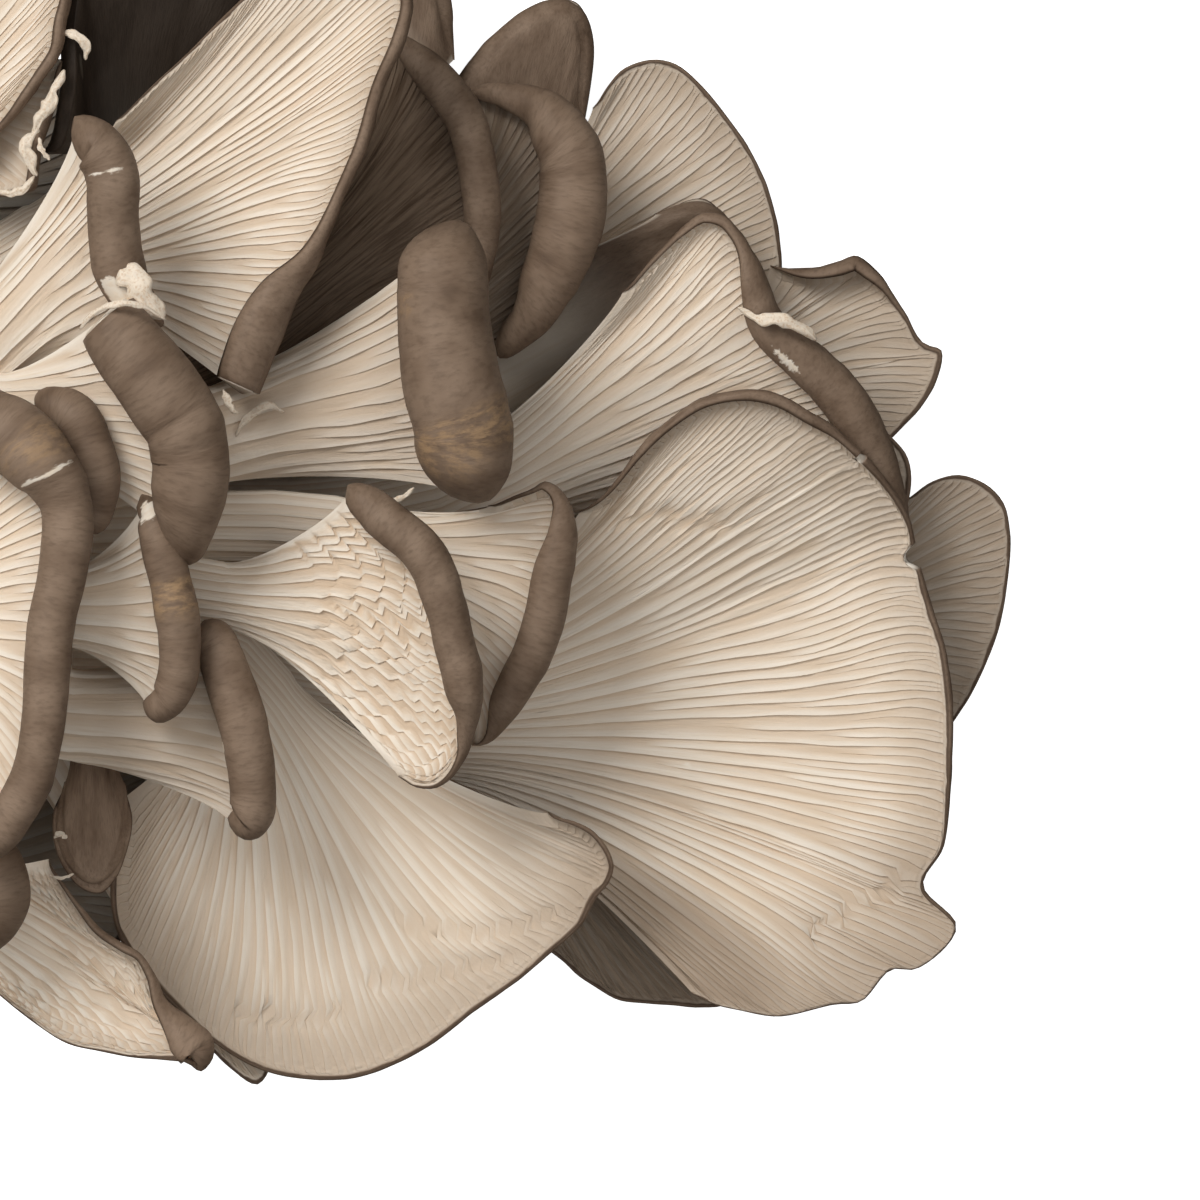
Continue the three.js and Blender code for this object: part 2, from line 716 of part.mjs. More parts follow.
      [16.8, -54.1, 37, 30, 1.2],
      [11.1, -58.1, 35, 30, 1.2],
      [5.5, -62.2, 34, 30, 1.2],
      [-0.6, -65.6, 33, 30, 1.2],
      [-7.2, -68, 32.5, 30, 1.2],
      [-13.8, -68.1, 32.5, 30, 1.2],
      [-20.1, -66.8, 33, 30, 1.2],
      [-26, -63.6, 34, 30, 1.2],
      [-31.3, -58.8, 35.5, 40, 1.2],
      [-36.7, -53.4, 38, 60, 1.5],
      [-41, -46.3, 40, 70, 1.8],
      [-41.4, -39.3, 42, 80, 2],
      [-40.3, -33.6, 43, 80, 2],
      [-39.3, -28, 44, 60, 2],
    ],
  },
  lower_left_fan: {
    foot: [-64, -8, 44],
    neck: [-60, -42, 46],
    stem: 6,
    flesh: 3,
    seed: 1,
    rim: [
      [-48.9, -36.1, 51, 60, 1.2],
      [-46.6, -38.7, 52, 70, 1.2],
      [-44.1, -41.8, 52, 80, 1.3],
      [-41.4, -45.4, 51.5, 80, 1.3],
      [-38.4, -47.5, 51, 80, 1.3],
      [-35.6, -49.1, 50, 80, 1.3],
      [-33.7, -51.9, 49, 90, 1.4],
      [-31.9, -55.5, 48, 130, 1.8],
      [-28.5, -58.2, 47.5, 200, 2.2],
      [-25.7, -60.7, 47, 210, 2.3],
      [-25.6, -63.8, 46.5, 200, 2.2],
      [-27.6, -66.2, 46, 150, 1.6],
      [-30.4, -65.5, 46, 70, 1.2],
      [-36.4, -64.5, 46, 30, 1],
      [-42, -63.4, 46, 30, 1],
      [-46.8, -62.2, 46, 20, 1],
      [-51.4, -59.5, 46, 20, 1],
      [-56.7, -55.3, 46, 20, 1],
      [-62.7, -50.1, 46, 20, 1],
    ],
  },
  shaded_cap: {
    foot: [-58, 22, 38],
    neck: [-14, 42, 34],
    stem: 6,
    flesh: 3,
    seed: 1,
    rim: [
      [-2.2, 81.5, 37, 90, 1.5],
      [1.6, 79.5, 38, 160, 1.8],
      [5.5, 77.1, 39, 220, 1.9],
      [9, 73.4, 39, 230, 2],
      [11.9, 69.3, 39.5, 230, 2],
      [13.7, 64.6, 39.5, 230, 2],
      [14.5, 59, 39.5, 230, 1.9],
      [14.5, 53.3, 39, 225, 1.8],
      [13.8, 48.3, 38.5, 215, 1.7],
      [12.4, 43.5, 38, 190, 1.5],
      [10.9, 39.3, 37.5, 130, 1.2],
    ],
  },
  right_fan: {
    foot: [-58, 2, 27],
    neck: [0, -17, 24],
    stem: 8.5,
    flesh: 4,
    seed: 1,
    rim: [
      [24.9, 12.4, 38, 40, 1],
      [28, 15.4, 39, 80, 1.2],
      [32.2, 20.9, 41, 100, 1.3],
      [36.7, 25.4, 43, 105, 1.3],
      [42, 29.1, 44, 110, 1.3],
      [47.9, 30.3, 44, 110, 1.3],
      [53.2, 29.4, 43, 110, 1.3],
      [58.2, 26.8, 41, 105, 1.3],
      [62.4, 24.3, 39, 90, 1.2],
      [66.2, 20.4, 36, 70, 1.2],
      [69.2, 16.2, 33, 40, 1],
      [72.1, 11.3, 30, 30, 1],
      [73.4, 5.6, 28.5, 30, 1],
      [75.5, -0.7, 28, 40, 1],
      [77.5, -6.5, 27.5, 40, 1],
      [78.3, -13.4, 27, 40, 1],
      [78.5, -21.2, 26.5, 40, 1],
      [78.1, -26.8, 26.5, 30, 1],
      [76.8, -35, 27, 20, 1],
      [73.7, -40.5, 27, 15, 1],
      [78.2, -46.3, 27, 10, 1],
      [72.7, -51.9, 28, 10, 1],
      [69, -52.2, 28, 10, 1],
      [64.9, -56.8, 28, 10, 1],
      [61, -57.4, 28, 15, 1],
      [53.1, -59.2, 28.5, 15, 1],
      [47.2, -58.2, 29, 15, 1],
      [43.8, -57.2, 29, 15, 1],
      [41, -55.5, 29, 20, 1],
    ],
  },
  thick_roll: {
    foot: [-58, 20, 30],
    neck: [2, 36, 24],
    stem: 6,
    flesh: 3.5,
    seed: 1,
    rim: [
      [9.7, 72.7, 28, 200, 1],
      [13.5, 73.4, 29, 220, 1.2],
      [17.3, 73.2, 30, 235, 1.6],
      [21, 72.4, 30.5, 240, 2.4],
      [24.5, 70.4, 31, 245, 3.1],
      [27.6, 67.3, 31, 245, 3.5],
      [29.7, 63.4, 31, 245, 3.7],
      [30.3, 59.4, 31, 245, 3.7],
      [29.9, 54.6, 31, 245, 3.7],
      [28.6, 49.4, 31, 245, 3.6],
      [26.5, 44.8, 30.5, 240, 3.4],
      [23.2, 40.1, 30, 235, 3],
      [20.3, 37.2, 29.5, 225, 2.3],
      [17.3, 35.1, 28.5, 220, 1.9],
      [14.6, 33, 28, 220, 1.5],
    ],
  },
  right_upper_fan: {
    foot: [-58, 10, 30],
    neck: [14, 16.5, 28],
    stem: 7.5,
    flesh: 3.5,
    seed: 1,
    rim: [
      [31.1, 43.3, 37, 40, 1],
      [35, 48.7, 37.5, 60, 1.1],
      [39, 52.8, 38, 80, 1.2],
      [42.3, 54.8, 38.5, 90, 1.2],
      [45.8, 54.3, 38.5, 100, 1.2],
      [48.2, 52, 38, 105, 1.2],
      [50.6, 48.6, 37, 155, 1.5],
      [52.5, 44.4, 36, 200, 1.7],
      [54.2, 40.6, 35, 215, 1.9],
      [58.1, 37.4, 34, 220, 2.1],
      [62.9, 33.5, 32.5, 230, 2.3],
      [66.6, 28.3, 31, 230, 2.3],
      [69.2, 22.5, 29, 230, 2.2],
      [71.2, 16.6, 27, 220, 2],
      [72.1, 10.6, 24, 170, 1.6],
      [71.1, 4.9, 20, 110, 1.3],
      [68, -3.5, 15, 60, 1],
    ],
  },
  dark_brown_cap: {
    foot: [-58, 14, 30],
    neck: [22, 39, 20],
    stem: 7.5,
    flesh: 3,
    seed: 1,
    gillSide: [0, 0, -1],
    rim: [
      [52, 44.5, 22, 60, 2],
      [49.5, 50.2, 22, 60, 2],
      [47.4, 54.8, 22, 60, 2],
      [43.3, 58.1, 23, 60, 2],
      [39.3, 57.5, 24, 60, 2],
      [35.8, 54.6, 25, 60, 2],
    ],
  },
  upper_right_cap: {
    foot: [-60, 16, 22],
    neck: [14, 40, 12],
    stem: 6,
    flesh: 3,
    seed: 1,
    rim: [
      [26.9, 69.7, 15, 30, 1],
      [28.8, 73.1, 16, 30, 1],
      [31.1, 75.6, 16, 30, 1],
      [35.1, 76.9, 16, 30, 1],
      [38.6, 76.3, 16, 30, 1],
      [42.2, 73.5, 16, 30, 1],
      [46.7, 68.3, 16, 30, 1],
      [50.2, 62.9, 15.5, 30, 1],
      [52.5, 57.2, 15, 30, 1],
      [53.9, 50.3, 14, 30, 1],
      [53.8, 43.9, 13.5, 30, 1],
      [52.8, 38.3, 13, 30, 1],
    ],
  },
  far_right_upper: {
    foot: [-60, 8, 22],
    neck: [45, 30, 14],
    stem: 5,
    flesh: 3,
    seed: 1,
    rim: [
      [52.1, 47.9, 16.5, 60, 1.5],
      [56.3, 48, 17, 120, 2.2],
      [61.3, 48.7, 17, 130, 2.2],
      [64.4, 49.4, 17, 130, 2],
      [67.4, 47.3, 17, 120, 2],
      [70, 44.3, 17, 90, 1.5],
      [71.6, 40.8, 17, 30, 1],
      [74, 36.8, 16.5, 30, 1],
      [76.7, 35.4, 16.5, 30, 1],
      [75.9, 30.4, 16, 40, 1.2],
      [73.6, 26.6, 15, 40, 1.2],
      [70.2, 23.4, 14, 30, 1],
      [65.1, 18.4, 13.5, 30, 1],
    ],
  },
  small_right: {
    foot: [-58, 4, 22],
    neck: [50, 12, 19],
    stem: 4.5,
    flesh: 3,
    seed: 1,
    rim: [
      [65, 26.9, 20, 30, 1],
      [69, 24, 20, 30, 1],
      [71.7, 20.9, 20, 30, 1],
      [72.4, 17.7, 20, 30, 1],
      [71.6, 12.7, 20, 30, 1],
      [69, 7.1, 19, 30, 1],
    ],
  },
  far_right: {
    foot: [-58, -4, 18],
    neck: [57, -5, 11],
    stem: 5,
    flesh: 3,
    seed: 1,
    rim: [
      [71.2, 14.2, 13, 20, 1],
      [74.8, 17, 13, 20, 1],
      [78.8, 18, 13, 20, 1],
      [82.6, 16.6, 13, 20, 1],
      [85.3, 13.8, 13, 20, 1],
      [86.4, 9.2, 13, 20, 1],
      [86.3, 3.5, 13, 20, 1],
      [84.7, -4.3, 12, 20, 1],
      [81.2, -12.8, 11, 20, 1],
      [76.3, -19.9, 10, 20, 1],
    ],
  },
  top_back_cap: {
    foot: [-60, 24, 32],
    neck: [0, 74, 24],
    stem: 5,
    flesh: 3.5,
    seed: 1,
    gillSide: [0, 0, -1],
    rim: [
      [7.5, 76.3, 22, 60, 2.5],
      [8.5, 83.3, 23, 60, 2.5],
      [6.8, 91.8, 24, 60, 2.5],
      [-2.6, 98.8, 25, 60, 2.5],
      [-9.7, 93.8, 26, 60, 2.5],
    ],
  },
  top_brown_cap: {
    foot: [-60, 20, 26],
    neck: [16, 60, 14],
    stem: 5,
    flesh: 3.5,
    seed: 1,
    gillSide: [0, 0, -1],
    rim: [
      [25.6, 65.9, 14, 60, 2.2],
      [28, 73, 14, 60, 2.2],
      [28.6, 80.5, 14, 60, 2.2],
      [25.9, 86.1, 15, 60, 2.2],
      [20.9, 87.1, 16, 60, 2.2],
      [14.6, 83.2, 17, 60, 2.2],
      [9, 77.6, 17, 60, 2.2],
      [5.3, 70.1, 17, 60, 2.2],
    ],
  },
  behind_left_upper: {
    foot: [-62, 18, 34],
    neck: [-63, 55.8, 25],
    stem: 6,
    flesh: 3.5,
    seed: 1,
    rim: [
      [-50.9, 78.2, 31, 40, 1.5],
      [-41.7, 72.9, 31, 40, 1.5],
      [-36.8, 63.4, 31, 40, 1.5],
      [-35.9, 54.2, 31, 40, 1.5],
      [-37.5, 44.4, 31, 40, 1.5],
      [-41.7, 37.3, 31, 40, 1.5],
      [-50.9, 34.5, 31, 40, 1.5],
    ],
  },
  far_lower: {
    foot: [-58, -6, 20],
    neck: [10, -28, 10.5],
    stem: 5,
    flesh: 3,
    seed: 1,
    rim: [
      [47.1, -49.6, 12, 20, 1],
      [46.2, -57.4, 12, 20, 1],
      [42.2, -58, 12, 20, 1],
      [38.2, -57.6, 12, 20, 1],
      [33.8, -57.4, 12, 20, 1],
      [30.4, -57, 12, 20, 1],
      [27.3, -55.3, 12, 20, 1],
      [24.7, -53.5, 12, 20, 1],
      [22, -50.9, 12, 20, 1],
      [15.2, -46.1, 12, 20, 1],
      [6.7, -40.4, 12, 20, 1],
    ],
  },
  behind_left_lower: {
    foot: [-62, -6, 30],
    neck: [-63.1, -38.1, 23],
    stem: 6,
    flesh: 3.5,
    seed: 1,
    rim: [
      [-51, -20, 27, 40, 1.5],
      [-39.7, -19, 27.5, 40, 1.5],
      [-31.5, -22.6, 28.5, 40, 1.5],
      [-30.9, -32.4, 28.5, 40, 1.5],
      [-35.4, -43, 28.5, 40, 1.5],
      [-41.4, -50, 28, 40, 1.5],
      [-50.3, -52.2, 27, 40, 1.5],
    ],
  },
  bottom_tip: {
    foot: [-58, -10, 30],
    neck: [-29, -54, 28],
    stem: 3,
    flesh: 2.5,
    seed: 1,
    rim: [
      [-22.7, -57.1, 29, 20, 1],
      [-19.4, -61.3, 29, 20, 1],
      [-18.2, -65.7, 29, 20, 1],
      [-20.3, -68.5, 29, 20, 1],
      [-24.4, -66, 29, 20, 1],
      [-27.7, -62.7, 29, 20, 1],
    ],
  },
  hidden_left_upper: {
    foot: [-70, 22, 34],
    neck: [-76, 44, 22],
    stem: 6,
    flesh: 3.5,
    seed: 1,
    rim: [
      [-96, 54, 13, 40, 2],
      [-95, 70, 10, 40, 2],
      [-84, 82, 8.8, 40, 2],
      [-68, 80, 9.5, 40, 2],
      [-60, 66, 13, 40, 2],
    ],
  },
  hidden_left_lower: {
    foot: [-72, -8, 30],
    neck: [-76, -26, 20],
    stem: 6,
    flesh: 3.5,
    seed: 1,
    rim: [
      [-58, -42, 12, 40, 2],
      [-64, -53, 9.5, 40, 2],
      [-78, -56, 8.5, 40, 2],
      [-90, -50, 9.5, 40, 2],
      [-93, -34, 13, 40, 2],
    ],
  },
};

// ---- solids -----------------------------------------------------------------------------
const wasm = await Module();
wasm.setup();

function solid({ points, faces }) {
  const mesh = new wasm.Mesh({
    numProp: 3,
    vertProperties: new Float32Array(points.flat()),
    triVerts: new Uint32Array(faces.flat()),
  });
  return new wasm.Manifold(mesh);
}

// The same skin pushed outward everywhere by a small distance.
function grown({ points, faces }, by) {
  const normals = points.map(() => [0, 0, 0]);
  for (const face of faces) {
    const [a, b, c] = face.map((k) => points[k]);
    const n = unit(cross(sub(b, a), sub(c, a)));
    face.forEach((k, i) => {
      const one = unit(sub(points[face[(i + 1) % 3]], points[k]));
      const two = unit(sub(points[face[(i + 2) % 3]], points[k]));
      normals[k] = add(normals[k], mul(n, Math.acos(clamp(dot(one, two), -1, 1))));
    });
  }
  return { points: points.map((p, k) => add(p, mul(unit(normals[k]), by))), faces };
}

// The knot of stems, a lumpy egg cut flat across its root end.
function knot(extra) {
  const { centre, half, cut, around, rings } = KNOT;
  const points = [];
  const faces = [];
  const put = (p) => points.push(p) - 1;
  const rows = [];
  for (let r = 1; r < rings; r++) {
    const tilt = (Math.PI * r) / rings;
    const row = [];
    for (let k = 0; k < around; k++) {
      const turn = (2 * Math.PI * k) / around;
      const lump = LUMPS.reduce((sum, [n, twist, high]) => sum + high * Math.sin(n * turn + twist * r), 1);
      const p = [
        centre[0] + (half[0] * lump + extra) * Math.cos(tilt),
        centre[1] + (half[1] * lump + extra) * Math.sin(tilt) * Math.cos(turn),
        centre[2] + (half[2] * lump + extra) * Math.sin(tilt) * Math.sin(turn),
      ];
      p[0] = Math.max(p[0], cut - extra);
      row.push(put(p));
    }
    rows.push(row);
  }
  const front = put([centre[0] + half[0] + extra, centre[1], centre[2]]);
  const rear = put([cut - extra, centre[1], centre[2]]);
  for (let k = 0; k < around; k++) {
    const next = (k + 1) % around;
    faces.push([front, rows[0][k], rows[0][next]]);
    faces.push([rear, rows[rings - 2][next], rows[rings - 2][k]]);
    for (let r = 0; r < rings - 2; r++) {
      faces.push([rows[r][k], rows[r + 1][k], rows[r + 1][next]]);
      faces.push([rows[r][k], rows[r + 1][next], rows[r][next]]);
    }
  }
  return { points, faces };
}

// Everything below the floor, as one block to cut away.
function block(low, high) {
  const points = [];
  for (const z of [low[2], high[2]]) {
    points.push([low[0], low[1], z], [high[0], low[1], z], [high[0], high[1], z], [low[0], high[1], z]);
  }
  const sides = [
    [0, 2, 1], [0, 3, 2], [4, 5, 6], [4, 6, 7],
    [0, 1, 5], [0, 5, 4], [1, 2, 6], [1, 6, 5],
    [2, 3, 7], [2, 7, 6], [3, 0, 4], [3, 4, 7],
  ];
  return { points, faces: sides };
}

function largest(body) {
  const pieces = body.decompose();
  pieces.sort((a, b) => b.volume() - a.volume());
  return pieces[0];
}

// ---- build ------------------------------------------------------------------------------
const group = new THREE.Group();
group.name = 'oyster_mushroom_cluster';

function show(name, body, color) {
  const mesh = body.getMesh();
  const stride = mesh.numProp;
  const count = mesh.vertProperties.length / stride;
  const position = new Float32Array(count * 3);
  for (let k = 0; k < count; k++) {
    position[3 * k] = mesh.vertProperties[stride * k] - CENTRE_X;
    position[3 * k + 1] = mesh.vertProperties[stride * k + 1] - CENTRE_Y;
    position[3 * k + 2] = mesh.vertProperties[stride * k + 2] - FLOOR;
  }
  const geometry = new THREE.BufferGeometry();
  geometry.setAttribute('position', new THREE.BufferAttribute(position, 3));
  geometry.setIndex(new THREE.BufferAttribute(new Uint32Array(mesh.triVerts), 1));
  geometry.computeVertexNormals();
  const material = new THREE.MeshStandardMaterial({ color, roughness: 0.75, metalness: 0 });
  const shown = new THREE.Mesh(geometry, material);
  shown.name = name;
  group.add(shown);
}

const ground = solid(block([-200, -200, FLOOR - 80], [200, 200, FLOOR]));
const core = solid(knot(0)).subtract(ground);
show('stem_knot', core, '#d9ccb4');
const inTheWay = [solid(knot(CLEARANCE))];
for (const [name, shape] of Object.entries(SHAPES)) {
  const mushroom = new Mushroom(name, shape);
  const skin = mushroom.skin();
  let body = solid(skin).subtract(ground);
  for (const other of inTheWay) {
    body = body.subtract(other);
  }
  body = largest(body);
  inTheWay.push(solid(grown(skin, CLEARANCE)));
  show(name, body, '#cfc1a8');
}

export default group;
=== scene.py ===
"""Dresses the oyster mushroom cluster: fine gills, rolled margins, torn edges and skin for every mushroom.

Lengths in the layout are millimetres; make_object turns them into metres in the CAD's frame.
"""

import math

import bpy
import numpy as np
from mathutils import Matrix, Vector


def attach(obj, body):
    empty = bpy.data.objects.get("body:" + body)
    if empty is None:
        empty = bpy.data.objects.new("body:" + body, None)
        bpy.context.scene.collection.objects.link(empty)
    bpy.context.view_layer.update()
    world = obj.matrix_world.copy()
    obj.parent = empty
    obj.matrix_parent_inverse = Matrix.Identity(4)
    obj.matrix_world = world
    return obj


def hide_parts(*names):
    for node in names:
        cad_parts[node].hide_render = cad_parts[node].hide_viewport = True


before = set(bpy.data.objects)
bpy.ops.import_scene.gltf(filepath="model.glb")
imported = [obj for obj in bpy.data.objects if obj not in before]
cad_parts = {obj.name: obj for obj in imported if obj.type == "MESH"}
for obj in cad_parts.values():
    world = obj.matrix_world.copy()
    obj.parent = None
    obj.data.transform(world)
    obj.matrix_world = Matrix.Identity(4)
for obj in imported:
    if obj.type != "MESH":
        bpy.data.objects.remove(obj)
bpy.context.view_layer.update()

# ---- sizes shared with the CAD source, millimetres ------------------------------------------
CENTRE_X = -4.9
CENTRE_Y = 14.78
FLOOR = 8.2
STEM_END = 0.22  # share of the way from foot to rim taken by the stem
ROLL_START = 0.8  # share of the way at which the margin begins to roll in
END_RADII = 1.1  # a roll rounds off over this many of its radii at each end of the rim
END_MORE = 1.0  # and this much more
CUT_END = 0.5  # length of the rounding at an end that is torn off square
PLAIN_ANGLE = 100  # degrees of roll up to which an end of the rim is a plain edge
FINGER_ANGLE = 180  # and from which it stands free as a fingertip
HOOK = 0.5  # how strongly the sheet bows in under such a fingertip
HOOK_REACH = 14  # over this length of the rim
HOOK_SPAN = 22  # and for no more than this much of the sheet
CUP = math.pi / 18  # how far a margin is tipped up before it rolls
FLAT = 0.8  # a stem's depth against its width

# ---- the fine gills, millimetres -------------------------------------------------------------
GILL_GAP = 0.74  # spacing at the rim
GILL_LEVELS = 3  # how often gills are added between older ones on the way to the rim
PAGE_WIDE = 1.9  # width of the pages near the stem
GILL_HEIGHT = 0.42  # tallest gill
GILL_LEAN = 0.55  # how far a crest leans over for each millimetre of its height
GILL_SAMPLES = (0.0, 0.2)  # a gill's crest and the foot of its steep side
ROW_STEP = 1.4  # spacing of rows along a gill
STEM_ROWS = 7  # rows along the stem
ROLL_STEP = 0.65  # spacing of rows around the roll of the margin
SKIN_EDGE = 0.33  # how far the cap's skin folds over the rim
STAIR_STEP = 3.1  # length of a gill between two cross-cracks
STAIR_SHIFT = 2.8  # how far a cracked gill steps sideways, in gills
CRACK_DEPTH = 0.4  # how far the flesh parts under a cross-crack


# ---- vectors ---------------------------------------------------------------------------------
def unit(a):
    return a / np.maximum(np.linalg.norm(a, axis=-1, keepdims=True), 1e-9)


def ease(x):
    x = np.clip(x, 0, 1)
    return x * x * (3 - 2 * x)


def bend(a, b, slope_a, slope_b, s):
    """Cubic between two rows of points with the given end slopes."""
    s = np.asarray(s, float)
    if s.ndim == 1:
        s = s[:, None]
    return (
        (2 * s**3 - 3 * s**2 + 1) * a + (s**3 - 2 * s**2 + s) * slope_a
        + (3 * s**2 - 2 * s**3) * b + (s**3 - s**2) * slope_b
    )


TABLE = np.random.default_rng(7).random(512)  # fixed random numbers from 0 to 1


def smooth_noise(x, seed):
    """Noise from -1 to 1 that changes over a step of 1 in x."""
    x = np.asarray(x, float)
    i = np.floor(x).astype(int)
    f = ease(x - i)
    a = TABLE[(i * 31 + seed * 97) % 512]
    b = TABLE[((i + 1) * 31 + seed * 97) % 512]
    return 2 * (a * (1 - f) + b * f) - 1


def field(x, y, seed):
    """Noise from -1 to 1 that changes over a step of 1 in x and in y."""
    x, y = np.broadcast_arrays(np.asarray(x, float), np.asarray(y, float))
    i = np.floor(x).astype(int)
    j = np.floor(y).astype(int)
    f = ease(x - i)
    g = ease(y - j)

    def corner(a, b):
        return TABLE[(a * 131 + b * 57 + seed * 71 + (a * b) % 7) % 512]

    low = corner(i, j) * (1 - f) + corner(i + 1, j) * f
    high = corner(i, j + 1) * (1 - f) + corner(i + 1, j + 1) * f
    return 2 * (low * (1 - g) + high * g) - 1


# ---- the rim's line --------------------------------------------------------------------------
class Rim:
    """A smooth line through the points of a rim, walked by its length."""

    def __init__(self, points):
        p = np.array(points, float)
        p = np.vstack([2 * p[0] - p[1], p, 2 * p[-1] - p[-2]])
        self.points = p
        spans = len(p) - 3
        self.steps = np.linspace(0, spans, 60 * spans + 1)
        places = self.raw(self.steps)[:, :3]
        arc = np.concatenate([[0], np.cumsum(np.linalg.norm(np.diff(places, axis=0), axis=1))])
        self.length = arc[-1]
        self.arc = arc / arc[-1]

    def raw(self, x):
        p = self.points
        spans = len(p) - 3
        i = np.clip(x.astype(int), 0, spans - 1)
        w = (x - i)[:, None]
        a, b, c, d = p[i], p[i + 1], p[i + 2], p[i + 3]
        before, inside, after = (
            np.linalg.norm((q - r)[:, :3], axis=1)[:, None] ** 0.5 for q, r in ((b, a), (c, b), (d, c))
        )
        slope_b = ((b - a) / before - (c - a) / (before + inside) + (c - b) / inside) * inside
        slope_c = ((c - b) / inside - (d - b) / (inside + after) + (d - c) / after) * inside
        square = 3 * (c - b) - 2 * slope_b - slope_c
        cube = 2 * (b - c) + slope_b + slope_c
        return b + slope_b * w + square * w**2 + cube * w**3

    def at(self, u):
        return self.raw(np.interp(np.clip(u, 0, 1), self.arc, self.steps))


# ---- one mushroom ----------------------------------------------------------------------------
PLAIN_LOOK = dict(
    # the last list holds soft spots of painted shade on the gills
    tears=(), breaks=(), scars=(), bruises=(), dims=(),
    stairs=0.0,  # strength of the cross-cracks all over the gills
    shade=1.0,  # painted shading: below 1 darkens the whole mushroom as painted shade, above 1 lightens it as painted light
    tone=0.0,  # share of painted deep shade pulled into the gills' colour
    height=1.0,  # of the gills
    grooves=0.6,  # strength of the painted shade in the grooves between gills
    rim_wide=9.0, rim_tan=0.55,  # width and strength of the tan band inside the rim: the gills' own tan there, deepened and widened on some caps as painted shade
    row_step=ROW_STEP,
    smoothing=0,  # rounds of smoothing on the cap's side
    skin_from=0.16,  # v at which the skin begins, less than 0 where it covers the gills too
)


class Mushroom:
    """u runs along the rim from one side of the fan to the other, v from the foot to the rim."""

    def __init__(
        self, foot, neck, rim, stem, flesh, seed=1, gill_side=None, wave=0.35, cut=(False, False), **look
    ):
        for key, value in {**PLAIN_LOOK, **look}.items():
            setattr(self, key, value)
        self.foot = np.array(foot, float)
        self.neck = np.array(neck, float)
        self.stem = stem
        self.flesh = flesh
        self.seed = seed
        self.wave = wave
        self.rim = Rim(rim)
        self.tips = []
        for square, (_, _, _, angle, radius) in zip(cut, self.rim.at(np.array([0.15, 0.85]))):
            length = CUT_END if square else END_RADII * radius + END_MORE
            length = min(length / self.rim.length, 0.4)
            curl = float(np.clip((angle - PLAIN_ANGLE) / (FINGER_ANGLE - PLAIN_ANGLE), 0, 1))
            self.tips.append((length, curl, 0.0 if square else HOOK * curl))
        places = np.array(rim, float)[:, :3]
        spokes = places - self.neck
        turned = -np.cross(spokes[:-1], spokes[1:]).sum(0)
        self.gill_side = unit(turned) if gill_side is None else np.array(gill_side, float)
        middle = places.mean(0)
        self.aim = unit(unit(middle - self.neck) - 0.35 * self.gill_side)
        self.across = unit(np.cross(self.aim, self.gill_side))
        self.front = np.cross(self.across, self.aim)
        self.start = unit(self.neck - self.foot)
        self.reach = float(np.linalg.norm(middle - self.neck))
        self.gills = max(16, int(round(self.rim.length / GILL_GAP / 8)) * 8)

    def margin(self, u):
        """The rim's place, its outward, gill-side and running directions, and its roll's radius and angle."""
        here = self.rim.at(u)
        first, last = self.tips
        tip_length = np.where(u < 0.5, first[0], last[0])
        curl = np.where(u < 0.5, first[1], last[1])
        from_end = np.clip(np.minimum(u, 1 - u) / tip_length, 0, 1)
        ends = np.sqrt(np.clip(1 - (1 - from_end) ** 2, 0, 1))
        steady = np.clip(u, first[0] * first[1], 1 - last[0] * last[1])
        ahead = self.rim.at(np.clip(steady + 0.001, 0, 1))[:, :3]
        behind = self.rim.at(np.clip(steady - 0.001, 0, 1))[:, :3]
        along = unit(ahead - behind)
        up = unit(self.gill_side - (along @ self.gill_side)[:, None] * along)
        out = math.cos(CUP) * np.cross(up, along) + math.sin(CUP) * up
        inner = np.cross(along, out)
        to_neck = np.linalg.norm(here[:, :3] - self.neck, axis=1)
        near = np.clip(to_neck / (3.2 * here[:, 4] + self.stem), 0.15, 1)
        k = self.seed * 2.399
        x = np.clip(u, 0, 1) * self.rim.length
        sway = np.sin(x / 3.1 + k) * 0.35 + np.sin(x / 6.3 + 2.1 * k) * 0.6 + np.sin(x / 11.7 + 1.3 * k)
        lift = np.sin(x / 7.9 + 3.1 * k) * 0.9 + np.sin(x / 4.3 + 0.7 * k) * 0.3
        notch, depth = self.torn(u)
        # a tear cuts into a plain edge, and unrolls a little of a rolled one
        rolled = np.clip((here[:, 3] - PLAIN_ANGLE) / (FINGER_ANGLE - PLAIN_ANGLE), 0, 1)
        depth = depth * (1 - rolled)
        full = here[:, 4] * near * (1 - 0.6 * notch * (1 - rolled))
        radius = np.maximum(full * ends, 0.25)
        rounded = curl * np.maximum(full - radius, 0)
        shift = (0.5 * self.wave * sway * ends - depth - rounded)[:, None] * out
        shift = shift + (0.6 * self.wave * lift * ends)[:, None] * inner
        unroll = 1 - notch * (0.75 - 0.4 * rolled)
        angle = np.radians(np.maximum(here[:, 3], 8) * unroll * (1 - 0.3 * (1 - ends) * (1 - curl)))
        return here[:, :3] + shift, out, inner, along, radius, angle

    def hook(self, u):
        """How strongly the sheet bows in under a fingertip at either end."""
        pull = np.where(u < 0.5, -self.tips[0][2], self.tips[1][2])
        return pull * ease(1 - np.minimum(u, 1 - u) * self.rim.length / HOOK_REACH)

    def capped(self, u):
        """1 on the very end of a fingertip, where its skin closes over the gills."""
        tip_length = np.where(u < 0.5, self.tips[0][0], self.tips[1][0])
        whole = np.where(u < 0.5, self.tips[0][2], self.tips[1][2]) / HOOK
        return whole * ease((0.45 - np.minimum(u, 1 - u) / tip_length) / 0.3)

    def torn(self, u):
        """How open a tear is at u, 0 to 1, and how far it cuts in."""
        notch = np.zeros_like(u)
        depth = np.zeros_like(u)
        for place, width, deep in self.tears:
            off = np.abs(u - place) * self.rim.length / (width / 2)
            gape = np.clip(1.35 * (1 - off), 0, 1)
            notch = np.maximum(notch, gape)
            depth = np.maximum(depth, deep * gape)
        return notch, depth

